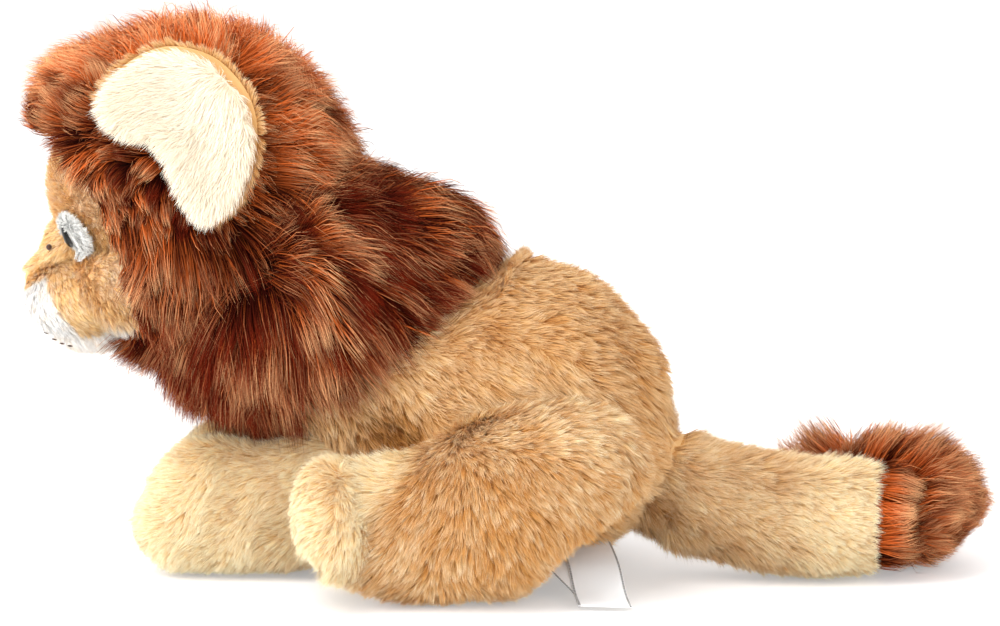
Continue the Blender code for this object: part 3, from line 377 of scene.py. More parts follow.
# %% A closed skin
def skin(grid, tone, along=0.12):
    """Vertices, triangles and UVs of a closed grid, whose first and last rings are one point each.
    along says how far up the chart of a strand its colour lies: near the roots under long pile, higher under short."""
    rings, sides = grid.shape[:2]
    points = np.vstack([grid[0, :1], grid[1:-1].reshape(-1, 3), grid[-1, :1]])
    ring, side = np.meshgrid(np.arange(rings - 3), np.arange(sides), indexing="ij")
    a, b = 1 + ring * sides + side, 1 + ring * sides + (side + 1) % sides
    body = np.stack([a, a + sides, b + sides, a, b + sides, b], -1).reshape(-1, 3)
    k = np.arange(sides)
    last = len(points) - 1
    first = np.stack([0 * k, 1 + k, 1 + (k + 1) % sides], 1)
    end = np.stack([last + 0 * k, last - sides + (k + 1) % sides, last - sides + k], 1)
    faces = np.vstack([first, body, end])
    normal = np.cross(points[faces[:, 1]] - points[faces[:, 0]], points[faces[:, 2]] - points[faces[:, 0]])
    if ((points[faces].mean(1) - points.mean(0)) * normal).sum() < 0:
        faces = faces[:, ::-1]
    number = np.arange(len(points))
    u = np.clip(tone, 0.02, 0.98) + 0.008 * (number % 2)
    return points, faces, np.stack([u, along + 0.03 * (number // sides % 2)], -1)


print("triangles of the marble's skin:", len(skin(surface(marble, 9, 12), np.zeros(1))[1]))


# %% One piece from skins and pile
def fur_piece(name, parts, body, finish, replaced):
    """Joins vertices, triangles and UVs into one smooth mesh, and lets it ride on its body in place of its solids."""
    starts = np.cumsum([0] + [len(part[0]) for part in parts])
    points, chart = (np.vstack([part[k] for part in parts]) for k in (0, 2))
    faces = np.vstack([part[1] + start for part, start in zip(parts, starts)])
    mesh = bpy.data.meshes.new(name)
    mesh.vertices.add(len(points))
    mesh.vertices.foreach_set("co", points.astype(np.float32).ravel())
    mesh.loops.add(faces.size)
    mesh.loops.foreach_set("vertex_index", faces.astype(np.int32).ravel())
    mesh.polygons.add(len(faces))
    mesh.polygons.foreach_set("loop_start", np.arange(0, faces.size, 3, dtype=np.int32))
    mesh.polygons.foreach_set("use_smooth", np.ones(len(faces), bool))
    mesh.uv_layers.new(name="OFBake").data.foreach_set("uv", chart[faces.ravel()].astype(np.float32).ravel())
    mesh.update(calc_edges=True)
    mesh.materials.append(finish)
    piece = bpy.data.objects.new(name, mesh)
    bpy.context.scene.collection.objects.link(piece)
    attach(piece, body)
    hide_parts(*replaced)
    print(f"{name}: {len(faces)} triangles")


print("ready to make the first piece")


# %% Pile on a form
def pile(
    form, inset, count, flow, length, width, lift, keep, tone, sag=0.1, clump=0.035, gather=0.45, joints=1,
    grid=None, drift=0.5, tones=(0.09, 0.09), tuck=None,
):
    """A skin set in under the form's surface and the strands that grow from it.
    keep says which roots grow, flow gives their direction, drift how much it wanders, tone their colour and tones how
    much that varies by strand and by clump; clump is a number of leaders per strand and tuck reshapes the skin."""
    grid = surface(form, 40, 48) if grid is None else grid
    normals = outward(grid)
    base = grid - (inset(grid)[..., None] if callable(inset) else inset) * normals
    base = base if tuck is None else tuck(base)
    base[..., 2] = np.maximum(base[..., 2], 0.0012)
    roots, tops = scatter(base, normals, count)
    chosen = keep(roots, tops)
    roots, tops = roots[chosen], tops[chosen]
    way = along_cloth(flow(roots, tops) + drift * wander(roots, 0.018), tops)
    size = length * np.ones(len(roots)) if np.isscalar(length) else length(roots)
    leaders = max(1, int(len(roots) * clump))
    points, closest = strands(roots, tops, way, size, lift, sag, leaders, gather, joints)
    points[..., 2] = np.maximum(points[..., 2], 0.0005)
    shade = tone(roots) + rng.normal(0, tones[0], len(roots)) + rng.normal(0, tones[1], len(roots))[closest]
    ends, faces = ribbons(points, tops, width)
    skin_points = np.vstack([base[0, :1], base[1:-1].reshape(-1, 3), base[-1, :1]])
    cloth = skin(base, tone(skin_points), 0.12 if joints == 3 else 0.40)
    return [cloth, (ends, faces, ribbon_chart(shade, joints + 1))]


def one_tone(value):
    """A tone that is the same all over."""
    return lambda points: value + 0 * points[:, 0]


print("joints and triangles of a strand:", [(joints, 2 * joints - 1) for joints in (1, 2, 3)])

# %% [markdown]
# ## Fur colours
# Real fur isn't one colour: a strand is darker and warmer at its root, and paler at its tip.
# On the tan fur and the mane the roots are darkened further as painted shade of the pile around them.
# The colour chart is a shader node group with a dark and a pale strand, each with a root, a middle and a tip.
# Each fur material places it with its own colours, and the strand's tone picks a place between dark and pale.

# %% Colours as they look
def seen(red, green, blue):
    """A colour as it looks on a screen, turned into the linear one that a shader works with."""
    return tuple(((c + 0.055) / 1.055) ** 2.4 for c in (red, green, blue)) + (1,)


def mix_colours(nodes, links, share, first, second):
    """A node that goes from the first colour to the second as the share goes from 0 to 1."""
    made = nodes.new("ShaderNodeMix")
    made.data_type = "RGBA"
    for socket, value in ((made.inputs[0], share), (made.inputs[6], first), (made.inputs[7], second)):
        links.new(value, socket)
    return made.outputs[2]


print("mid grey in linear light:", round(seen(0.5, 0.5, 0.5)[0], 3))


# %% The chart of a strand's colours
def strand_colours():
    """A group that takes a tone, the way along the strand and six colours, and puts out the colour there."""
    group = bpy.data.node_groups.new("strand_colours", "ShaderNodeTree")
    for name in ("Tone", "Along"):
        group.interface.new_socket(name, in_out="INPUT", socket_type="NodeSocketFloat")
    names = ["Dark Root", "Dark Middle", "Dark Tip", "Pale Root", "Pale Middle", "Pale Tip"]
    for name in names:
        group.interface.new_socket(name, in_out="INPUT", socket_type="NodeSocketColor")
    group.interface.new_socket("Colour", in_out="OUTPUT", socket_type="NodeSocketColor")
    nodes, links = group.nodes, group.links
    source, target = nodes.new("NodeGroupInput"), nodes.new("NodeGroupOutput")
    spans = []
    for low, high in ((0.0, 0.5), (0.45, 1.0)):
        span = nodes.new("ShaderNodeMapRange")
        span.interpolation_type = "SMOOTHSTEP"
        span.inputs["From Min"].default_value, span.inputs["From Max"].default_value = low, high
        links.new(source.outputs["Along"], span.inputs["Value"])
        spans.append(span.outputs["Result"])
    ends = []
    for word in ("Dark", "Pale"):
        root, middle, tip = (source.outputs[f"{word} {place}"] for place in ("Root", "Middle", "Tip"))
        ends.append(mix_colours(nodes, links, spans[1], mix_colours(nodes, links, spans[0], root, middle), tip))
    links.new(mix_colours(nodes, links, source.outputs["Tone"], *ends), target.inputs["Colour"])
    return group


STRAND_COLOURS = strand_colours()
print("the group's inputs:", ", ".join(item.name for item in STRAND_COLOURS.interface.items_tree))


# %% The five furs
def fur(name, colours, roughness=0.8, specular=0.15, sheen=0.1):
    """A fur finish: the chart of six colours on the strand's own UV, and a soft sheen on a Principled BSDF."""
    made = bpy.data.materials.new(name)
    made.use_nodes = True
    nodes, links = made.node_tree.nodes, made.node_tree.links
    shader = nodes["Principled BSDF"]
    place, parts, chart = nodes.new("ShaderNodeUVMap"), nodes.new("ShaderNodeSeparateXYZ"), nodes.new("ShaderNodeGroup")
    place.uv_map = "OFBake"
    chart.node_tree = STRAND_COLOURS
    links.new(place.outputs["UV"], parts.inputs["Vector"])
    links.new(parts.outputs["X"], chart.inputs["Tone"])
    links.new(parts.outputs["Y"], chart.inputs["Along"])
    for socket, colour in zip(list(chart.inputs)[2:], colours):
        socket.default_value = seen(*colour)
    links.new(chart.outputs["Colour"], shader.inputs["Base Color"])
    shader.inputs["Roughness"].default_value = roughness
    shader.inputs["Specular IOR Level"].default_value = specular
    shader.inputs["Sheen Weight"].default_value = sheen
    shader.inputs["Sheen Roughness"].default_value = 0.5
    return made


# the dark root is partly the fur's own colour and partly painted shade of the pile around it
tan_fur = fur("tan_fur", [
    (0.64, 0.38, 0.14), (0.79, 0.54, 0.26), (0.89, 0.67, 0.39),
    (0.94, 0.73, 0.43), (1.0, 0.89, 0.67), (1.0, 0.98, 0.87),
])
cream_fur = fur("cream_fur", [
    (0.95, 0.88, 0.76), (0.98, 0.92, 0.82), (0.99, 0.94, 0.85),
    (0.98, 0.93, 0.84), (0.99, 0.95, 0.88), (1.0, 0.97, 0.91),
])
face_fur = fur("face_fur", [
    (0.86, 0.64, 0.37), (0.95, 0.77, 0.50), (1.0, 0.89, 0.65),
    (1.0, 1.0, 0.99), (1.0, 1.0, 1.0), (1.0, 1.0, 1.0),
])
white_fur = fur("white_fur", [(1.0, 0.97, 0.92)] + [(1.0, 1.0, 0.99)] * 5, sheen=0.6)
# the near-black dark root and middle are darkened as painted shade for the gaps between clumps
mane_fur = fur("mane_fur", [
    (0.04, 0.008, 0.004), (0.17, 0.020, 0.005), (0.46, 0.120, 0.035),
    (0.26, 0.05, 0.015), (0.85, 0.41, 0.18), (1.0, 0.79, 0.57),
], roughness=0.7, specular=0.02, sheen=0.0)
print("tan, cream, face, white and mane fur")

# %% [markdown]
# ## The body
# The torso is sewn from two tan back panels and a cream belly panel, with a pile of 8 to 10 mm.
# Its fur was brushed back and down, and in the hollow over the foot its colour is painted darker and warmer as painted
# shade.
# No strand grows where another part is sewn on, which saves triangles that nobody would see.

# %% Where fur grows and how it lies
BODY_PILE, BODY_WIDTH, BODY_LIFT = 0.0078, 0.00032, 49


def not_in(*forms, room=-0.005):
    """A test that keeps the roots outside all of the forms."""
    def free(points):
        inside = np.zeros(len(points), bool)
        for form in forms:
            inside |= holds(form, points, room)
        return ~inside
    return free


def steady(x, y, z):
    """A flow that points the same way everywhere."""
    return lambda points, normals: np.broadcast_to(unit(np.array([x, y, z], float)), points.shape)


def on_side(p, side):
    """Which points are on the lion's left, 1, or on its right, -1."""
    return side * p[:, 0] > 0


print(f"the body's pile is {BODY_PILE * 1000} mm long and rises by {BODY_LIFT} degrees")


# %% The torso's hollows
def hollow(p):
    """How near a point is to the hollow between the foot, the thigh and the flank: a soft bump, exp(-distance^2), that
    deepens the skin there and darkens the fur's tone there as painted shade.
    """
    return np.exp(-(((p[..., 1] + 0.032) / 0.012) ** 2 + ((p[..., 2] - 0.053) / 0.011) ** 2))


def torso_inset(p):
    """Deeper at the end of the rump, where the stuffing is slack, and in the hollow over the foot."""
    return 0.0042 + 0.0072 * ease(p[..., 1], 0.028, 0.052) * ease(p[..., 2], 0.040, 0.062) + 0.010 * hollow(p)


def level_back(skin):
    """Presses the back down to one smooth line from the cape to the rump, read off the photograph."""
    line = np.interp(skin[..., 1], [-0.03, 0.002, 0.021, 0.035], [0.117, 0.1125, 0.1075, 0.1015])
    skin[..., 2] = np.where(skin[..., 1] < 0.035, np.minimum(skin[..., 2], line), skin[..., 2])
    return skin


def clear_of_limbs(p):
    """Which points of the torso lie open, with no leg or tail sewn over them."""
    limbs = [foreleg["left"], foreleg["right"], hind_leg["left"], hind_leg["right"]]
    return not_in(*limbs)(p) & ~holds(tail_root, p, -0.008)


def body_tone(p):
    """Tan with large and small blotches."""
    return 0.38 + 0.13 * mottle(p, 0.05) + 0.12 * mottle(p, 0.012)


def flank_length(p):
    """The pile stands longer where the thighs press against the flanks."""
    beside_thigh = holds(hind_leg["left"], p, 0.007) | holds(hind_leg["right"], p, 0.007)
    return BODY_PILE * (1 + 0.5 * beside_thigh)


print("the hollow over the foot, 12 mm from its middle:", hollow(np.array([0, -0.020, 0.053])).round(2))

# %% Torso and belly
torso_parts = pile(
    torso, torso_inset, 190000, steady(0, 1, -0.45), flank_length, BODY_WIDTH, BODY_LIFT,
    keep=lambda p, n: clear_of_limbs(p) & not_in(cape, mane_ball, room=-0.009)(p) & (p[:, 2] > 0.010),
    # the tone drops in the hollow over the foot: painted shade between the foot, the thigh and the flank
    tone=lambda p: body_tone(p) - 0.5 * hollow(p), tuck=level_back,
)
panels = ["torso_left_panel", "torso_right_panel", "torso_filling"]
fur_piece("torso_fur", torso_parts, "root", tan_fur, panels)
belly_parts = pile(
    torso, 0.0046, 27000, steady(0, 1, 0), 0.006, BODY_WIDTH, 18,
    keep=lambda p, n: clear_of_limbs(p) & (p[:, 2] <= 0.013), tone=lambda p: 0.5 + 0.1 * mottle(p, 0.03),
    tuck=lambda skin: np.where(skin[..., 2:] > 0.011, skin * (0.5, 0.5, 0) + (0, 0, 0.0095), skin),
)
fur_piece("belly_fur", belly_parts, "root", cream_fur, ["belly_panel"])

# %% [markdown]
# ## Legs
# The forelegs stretch ahead with their fur brushed towards the paws. The hind legs are folded:
# the fur of the thigh runs back and down, and turns forward over the foot, where it grows longer and paler on the toes.
# A leg could be bent into place with bones, but it never leaves this fold, so its tube is drawn folded from the start.

# %% Forelegs
def resting_paw(skin):
    """Pushes the paw forward where it rests on the table and draws it back above, as the stuffing sinks."""
    shift = np.interp(skin[..., 2], [0.0, 0.020, 0.034, 0.050], [-0.004, -0.003, 0.002, 0.006])
    skin[..., 1] += shift * ease(-skin[..., 1], 0.085, 0.118)
    return skin


for word, side in SIDES.items():
    clear = not_in(torso, cape, hind_leg[word])
    parts = pile(
        foreleg[word], 0.0048, 115000, steady(0, -1, -0.5), BODY_PILE, BODY_WIDTH, BODY_LIFT,
        # paler towards the paw, which is cream; nearer the shoulder the tan stays darker as painted shade under the
        # mane
        keep=lambda p, n: clear(p), tone=lambda p: body_tone(p) + 0.34 + 0.42 * ease(-p[:, 1], 0.055, 0.105),
        tuck=resting_paw,
    )
    panels = [f"foreleg_{place}_{word}" for place in ("outer", "inner", "filling")]
    fur_piece(f"foreleg_fur_{word}", parts, f"foreleg_{word}", tan_fur, panels)


# %% The folded hind leg
TABLE_LINE = np.array([
    (-0.054, 0.023), (-0.047, 0.0185), (-0.0405, 0.0130), (-0.030, 0.006), (-0.015, 0), (0, 0.001),
    (0.0107, 0.0062), (0.0150, 0.0102), (0.0207, 0.0160), (0.0257, 0.0235), (0.0373, 0.0315), (0.055, 0.040),
])


def hind_flow(side):
    """Back and down on the thigh, forward and down on the foot, and out and down where the two part."""
    def flow(points, normals):
        foot = ease(-points[:, 1:2], -0.020, 0.030)
        thigh, toes = np.array([0, 0.8, -0.7]), np.array([side * 0.3, -0.9, -0.35])
        over = np.array([side * 0.2, 0.45, -0.9])
        way = thigh * (1 - foot) + toes * foot + over * 4 * foot * (1 - foot)
        way[:, 2] *= 1 - 0.75 * ease(normals[:, 2], 0.3, 0.9)
        return unit(way)
    return flow


def rounded_foot(p):
    """The foot's front edge is rounded off where the sole is turned in, most of all underneath."""
    return 0.0046 + 0.0040 * ease(-p[..., 1], 0.040, 0.060) * ease(-p[..., 2], -0.022, -0.004)


def off_the_table(skin):
    """Lifts the underside behind the knee and under the toes, where the cloth curves up from the table."""
    skin[..., 2] = np.maximum(skin[..., 2], np.interp(skin[..., 1], *TABLE_LINE.T))
    return skin


def toes(p):
    """How much of the toes a point is: 1 ahead of a slanting line over the foot, 0 behind it."""
    return ease(np.interp(p[:, 2], [0.028, 0.046], [-0.040, -0.021]) - p[:, 1], -0.006, 0.005)


print("the underside is lifted by up to", TABLE_LINE[:, 1].max() * 1000, "mm")

# %% Hind legs and soles
for word, side in SIDES.items():
    parts = pile(
        hind_leg[word], rounded_foot, 150000, hind_flow(side), lambda p: BODY_PILE * (1 + 0.45 * toes(p)),
        BODY_WIDTH, BODY_LIFT,
        keep=lambda p, n: not_in(torso, room=-0.007)(p) & not_in(cape, foreleg[word])(p) & (n[:, 1] > -0.96),
        tone=lambda p: body_tone(p) - 0.10 + 0.75 * toes(p) + 0.30 * ease(p[:, 2], 0.046, 0.066),
        tuck=off_the_table, tones=(0.17, 0.13),
    )
    panels = [f"hind_leg_{place}_{word}" for place in ("outer", "inner", "filling")]
    fur_piece(f"hind_leg_fur_{word}", parts, f"hind_leg_{word}", tan_fur, panels)
    sole = ball((side * 0.0640, -0.0470, 0.0290), (0.036, 0.026, 0.043), tilt=12)
    parts = pile(
        sole, 0.0004, 36000, steady(0, -0.6, -1), 0.0065, BODY_WIDTH, BODY_LIFT,
        keep=lambda p, n: (p[:, 1] < -0.0430) | ~holds(hind_leg[word], p, -0.0085),
        tone=lambda p: 0.92 + 0.10 * mottle(p, 0.015), tuck=off_the_table,
    )
    fur_piece(f"sole_fur_{word}", parts, f"hind_leg_{word}", tan_fur, [f"foot_sole_{word}"])

# %% [markdown]
# ## Tail and tuft
# The tail is a stuffed tube whose fur is brushed to its tip and fades to cream.
# The tuft is long pile in pointed clumps that fan out behind. It is one ball of cloth, so one ball of pile makes it,
# and two more sets of strands join it to the tail and bring it up into a brush.

# %% Tail
TAIL_SEAM = 0.129
tail_flow = steady(0, 1, -0.12)
off_the_rump = not_in(torso, room=-0.0125)


def tail_length(p):
    """The pile stands up longer along the top of the tail."""
    return BODY_PILE * (1 + 0.4 * ease(p[:, 2], 0.030, 0.042))


tail_parts = pile(
    tail, 0.0044, 110000, tail_flow, tail_length, BODY_WIDTH, BODY_LIFT,
    keep=lambda p, n: off_the_rump(p) & ~holds(tuft, p, -0.006) & (p[:, 1] < TAIL_SEAM),
    tone=lambda p: body_tone(p) + 0.16 + 0.38 * ease(p[:, 1], 0.070, 0.125),
)
tail_parts += pile(
    tail_root, 0.0044, 24000, tail_flow, tail_length, BODY_WIDTH, BODY_LIFT,
    keep=lambda p, n: off_the_rump(p) & not_in(tail)(p), tone=body_tone,
)
fur_piece("tail_fur", tail_parts, "tail", tan_fur, ["tail_top_panel", "tail_bottom_panel", "tail_filling"])


# %% Tuft
def tuft_flow(points, normals):
    """Away from the end of the tail and back, and up where it starts: the fan of a brush."""
    start = (1 - ease(points[:, 1:2], 0.112, 0.142)) * ease(points[:, 2:], 0.012, 0.030)
    away = unit(points - np.array([-0.018, 0.106, 0.018])) * (1 - 0.8 * start)
    return unit(away + (1 - start) * np.array([0, 0.35, 0.10]) + start * np.array([-0.3, -0.75, 1.5]))


def tuft_length(p):
    """Long on top, shorter below and at the far end."""
    return (0.018 + 0.012 * ease(p[:, 2], 0.018, 0.034)) * (1 - 0.28 * ease(p[:, 1], 0.140, 0.160))


TUFT_WIDTH, LONG_TONES = 0.00038, (0.12, 0.26)
tuft_parts = pile(
    tuft, 0.010, 34000, tuft_flow, tuft_length, TUFT_WIDTH, lift=46,
    keep=lambda p, n: (p[:, 2] > 0.0015) & ~holds(tail, p, -0.003), tone=lambda p: 0.50 + 0.25 * mottle(p, 0.03),
    sag=-0.06, clump=0.016, gather=0.55, joints=3, tones=LONG_TONES,
)
tuft_parts += pile(
    tuft, 0.010, 26000, steady(-0.2, -1.0, 0.3), 0.0315, TUFT_WIDTH, lift=50,
    keep=lambda p, n: (p[:, 1] < 0.130) & (p[:, 0] < -0.026) & (p[:, 2] > 0.016),
    tone=lambda p: 0.58 + 0.25 * mottle(p, 0.03), sag=-0.38, clump=0.03, gather=0.5, joints=3, tones=LONG_TONES,
)[1:]
tuft_parts += pile(
    tail, 0.0060, 50000, steady(0, 1, 0.1), 0.020, TUFT_WIDTH, lift=30,
    keep=lambda p, n: (p[:, 1] > TAIL_SEAM - 0.002) & (p[:, 2] > 0.0015), tone=lambda p: 0.50 + 0.25 * mottle(p, 0.03),
    sag=0.04, clump=0.012, gather=0.6, joints=3, tones=LONG_TONES,
)[1:]
fur_piece("tuft_fur", tuft_parts, "tail", mane_fur, ["tail_tuft"])

# %% [markdown]
# ## The mane
# The mane is long-pile fabric in two layers: a cape over the shoulders and a cap round the face.
# Near-black roots show between its pointed clumps, darkened as painted shade in the gaps; the strands are rust red,
# and their tips are worn pale.
# On the cape they fan out from under the cheek; on the head they radiate from the ear.
# Combing each tuft by hand would take days, so one formula gives the direction and others the length and the tone.

# %% Shoulder mane
MANE_WIDTH = 0.00036


def cape_flow(side):
    """Away from a point under the cheek, and down."""
    heart = np.array([side * 0.040, -0.075, 0.108])
    return lambda points, normals: unit(unit(points - heart) + np.array([0, 0.25, -0.35]))


def cape_inset(p):
    """Deeper at the back, where the cape thins out over the shoulders."""
    deeper = np.interp(p[..., 1], [-0.075, -0.050, -0.035, -0.018, -0.004], [0, 0.006, 0.0085, 0.004, 0])
    return 0.0105 + deeper * ease(p[..., 2], 0.09, 0.12)


def cape_length(p):
    """A little shorter at the back."""
    return 0.026 - 0.004 * ease(p[:, 1], -0.035, -0.012)


def mane_tone(p):
    """Blotchy, paler over the crown and at the nape as painted light falling from above and behind, and paler along the
    cape's lower edge.
    """
    # painted light: the crown and the nape are paler where light falls from above and behind
    painted_light_above_behind = 0.95 * ease(p[:, 2], 0.158, 0.186) + 0.40 * ease(p[:, 1], -0.095, -0.070) * ease(p[:, 2], 0.125, 0.145)
    return 0.18 + 0.20 * mottle(p, 0.040) + 0.14 * mottle(p, 0.012) + painted_light_above_behind + 0.30 * ease(-p[:, 2], -0.076, -0.058)


for word, side in SIDES.items():
    clear = not_in(mane_ball, room=-0.012)
    parts = pile(
        cape, cape_inset, 108000, cape_flow(side), cape_length, MANE_WIDTH, 32,
        keep=lambda p, n: clear(p) & ~holds(torso, p, -0.010) & on_side(p, side), tone=lambda p: mane_tone(p) - 0.11,
        sag=0.26, clump=0.018, gather=0.55, joints=3, tones=(0.24, 0.38),
    )
    fur_piece(f"shoulder_mane_fur_{word}", parts, "root", mane_fur, [f"shoulder_mane_{word}"])

# %% The edge round the face
OPENING = np.array([
    (-0.45, -1.4), (-0.42, -0.85), (-0.21, -0.52), (-0.33, -0.05), (-0.46, 0.18), (-0.61, 0.32), (-0.82, 0.43),
])
HEAD_RADIUS = HEAD_SIZE / 2


def behind_edge(points, room=0.0):
    """Which points are behind the front edge of the mane, a broken line of y over z measured in head radii."""
    y, z = (points[..., 1] - HEAD[1]) / HEAD_RADIUS, (points[..., 2] - HEAD[2]) / HEAD_RADIUS
    edge = np.interp(z, OPENING[:, 1], OPENING[:, 0])
    return (y > edge - room / HEAD_RADIUS) | (z > OPENING[-1, 1])


def ear_shade(points):
    """How short the mane is cut where an ear lies over it: 1 in the open, 0.35 under the ear."""
    middle = HEAD + np.array([0.048, 0.006, 0.024])
    reach = (points - middle) / np.array([0.022, 0.027, 0.029])
    reach[..., 0] = (np.abs(points[..., 0]) - middle[0]) / 0.022
    return 0.35 + 0.65 * ease((reach**2).sum(-1), 0.8, 1.4)


def under_the_face(points):
    """Draws the skin in front of the mane's edge in towards the head's middle, so that the face covers it."""
    inside = HEAD + 0.6 * (points - HEAD)
    return np.where(behind_edge(points, 0.001)[..., None], points, inside)


def over_the_brow(skin):
    """Lifts the underside of the crest, so that the forehead shows under it."""
    skin[..., 2] = np.where(skin[..., 1] < -0.130, np.maximum(skin[..., 2], 0.154), skin[..., 2])
    return skin


print("millimetres from the head's middle to the mane's edge:", (OPENING[:, 0] * HEAD_RADIUS * 1000).round().tolist())


# %% Head mane
def mane_flow(side):
    """Away from the middle of the ear: up over the crown, forward over the forehead and down behind the cheek,
    where the way forward is held back so that no strand falls over the face."""
    ear = np.array([side * 0.040, -0.100, 0.150])

    def flow(points, normals):
        way = unit(points - ear)
        low = np.clip((0.158 - points[:, 2]) / 0.020, 0, 1)
        way[:, 1] = np.where(way[:, 1] < 0, way[:, 1] * (1 - 1.1 * low), way[:, 1])
        brow = ease(-points[:, 1:2], 0.135, 0.155)
        throat = ease(-points[:, 2:], -0.094, -0.082) * ease(-points[:, 1:2], 0.095, 0.110)
        return unit(way + np.array([0, 0, -0.05]) + brow * np.array([0, -0.1, 0.35]) + throat * np.array([0, -0.8, 0]))
    return flow


def crown(p):
    """How long the mane is: longest over the crown, short under an ear and short beside the face."""
    edge = HEAD[1] + HEAD_RADIUS * np.interp((p[:, 2] - HEAD[2]) / HEAD_RADIUS, OPENING[:, 1], OPENING[:, 0])
    beside = ease(p[:, 1] - edge, -0.002, 0.018)
    trimmed = 0.3 + 0.7 * np.maximum(beside, np.maximum(ease(p[:, 2], 0.168, 0.180), ease(-p[:, 2], -0.094, -0.084)))
    length = 0.025 + 0.007 * ease(p[:, 2], 0.165, 0.185) - 0.002 * ease(p[:, 1], -0.090, -0.065)
    return length * ear_shade(p) * trimmed


def crest_length(p):
    """Longer on top of the crest than over the forehead."""
    return (0.015 + 0.0088 * ease(p[:, 2], 0.165, 0.180)) * ear_shade(p)


def ragged_edge(p):
    """Behind the mane's edge, which moves back and forth with small blotches."""
    return behind_edge(p, -0.003 + 0.0025 * mottle(p, 0.009))


for word, side in SIDES.items():
    parts = pile(
        mane_ball, 0.0105, 86000, mane_flow(side), crown, MANE_WIDTH, 36,
        keep=lambda p, n: on_side(p, side) & ragged_edge(p) & ~holds(crest, p, -0.008), tone=mane_tone,
        sag=0.16, clump=0.018, gather=0.55, joints=3, tones=(0.20, 0.25), tuck=under_the_face,
    )
    parts += pile(
        crest, 0.010, 30000, mane_flow(side), crest_length, MANE_WIDTH, 34,
        keep=lambda p, n: on_side(p, side) & ~holds(mane_ball, p, -0.014) & (p[:, 2] > 0.1548),
        tone=lambda p: mane_tone(p) + 0.14,
        sag=0.02, clump=0.016, gather=0.55, joints=3, tones=LONG_TONES, tuck=over_the_brow,
    )
    fur_piece(f"head_mane_fur_{word}", parts, "head", mane_fur, [f"head_mane_{word}"])

# %% Neck
neck_line = [(0, -0.109, 0.133), (0, -0.090, 0.113), (0, -0.065, 0.086), (0, -0.055, 0.076)]
neck = tube(neck_line, [(0.011, 0.011)] * 4, (0.15, 0.15))
neck_parts = pile(
    neck, 0.001, 2500, steady(0, 1, -1), 0.003, 0.0005, 20, keep=lambda p, n: p[:, 2] > 0, tone=one_tone(0.2),
)
fur_piece("neck_plug", neck_parts, "neck", mane_fur, ["neck_filling"])

# %% [markdown]
# ## The face
# The face has the shortest pile of all, 4 to 5 mm, brushed back from the nose. Forehead, cheeks and the bridge of
# the nose are tan, the muzzle and chin are white, and a white patch is let in behind each eye.
# Each is its own stuffed ball of cloth, because where two balls meet there is a seam's hollow, as on the toy.

# %% Where the eyes sit
FACE_WIDTH = 0.00028


def from_nose(points, normals):
    """Away from the tip of the nose, as an animal's fur lies."""
    return unit(points - np.array([0, -0.172, 0.104]))


EYE_TURN, EYE_DROP = np.radians([4, 16])
eye_seat, eye_axis = {}, {}
EYE_OUT, EYE_DOWN = 0.465, 0.486
for word, side in SIDES.items():
    ahead = np.sqrt(1 - EYE_OUT**2 - EYE_DOWN**2)
    eye_seat[word] = skull["centre"] + skull["half"] * np.array([side * EYE_OUT, -ahead, -EYE_DOWN])
    level = np.cos(EYE_DROP)
    eye_axis[word] = np.array([side * np.sin(EYE_TURN) * level, -np.cos(EYE_TURN) * level, -np.sin(EYE_DROP)])


PATCH_MIDDLE = np.array([0.0245, -0.1478, 0.1190])


def off_the_eyes(points, room=0.0055):
    """Which points are further than some room from both eyes."""
    return np.all([np.linalg.norm(points - seat, axis=1) > room for seat in eye_seat.values()], axis=0)


def in_patch(points):
    """Which points are in the white patches round and behind the eyes."""
    mirrored = np.abs(points * (1, 0, 0)) + points * (0, 1, 1)
    return (((mirrored - PATCH_MIDDLE) / (0.012, 0.0076, 0.0092)) ** 2).sum(-1) < 1


print("the left eye sits at", (eye_seat["left"] * 1000).round(1).tolist(), "mm")


# %% Tan face
def forehead_inset(p):
    """Shallower along the middle of the forehead, where the stuffing pushes the cloth out."""
    return 0.0024 - 0.0010 * ease(-np.abs(p[..., 0]), -0.018, -0.010) * ease(p[..., 2], 0.114, 0.124)


def on_nose(points):
    """Which points lie where the felt nose is sewn on, or so close above it that their fur would fall over it."""
    return (np.abs(points[:, 0]) < 0.0070) & (points[:, 2] < 0.1055) & (points[:, 1] < -0.156)


def face_tone(p):
    """Tan with small blotches, and paler low on the cheeks."""
    return 0.14 + 0.10 * mottle(p, 0.02) + 0.75 * ease(-p[:, 2], -0.092, -0.084)


face_forms = [
    (skull, 150000, (cheeks, bridge, muzzle)), (cheeks, 80000, (skull, bridge, muzzle)),
    (bridge, 24000, (skull, nose_back)), (nose_back, 30000, (skull,)),
]
face_parts = []
for form, count, others in face_forms:
    clear = not_in(*others, room=-0.0025)
    on_bridge = form is bridge or form is nose_back
    inset, flow = (0.0, steady(0, -1, -0.9)) if on_bridge else (forehead_inset, from_nose)
    face_parts += pile(
        form, inset, count, flow, 0.0050, FACE_WIDTH, 50,
        keep=lambda p, n: (
            clear(p) & ~behind_edge(p, -0.007) & off_the_eyes(p) & (~in_patch(p) | on_bridge) & ~on_nose(p)
        ),
        tone=face_tone, drift=0.2,
    )
fur_piece("face_fur", face_parts, "head", face_fur, ["face_left", "face_right", "head_filling"])


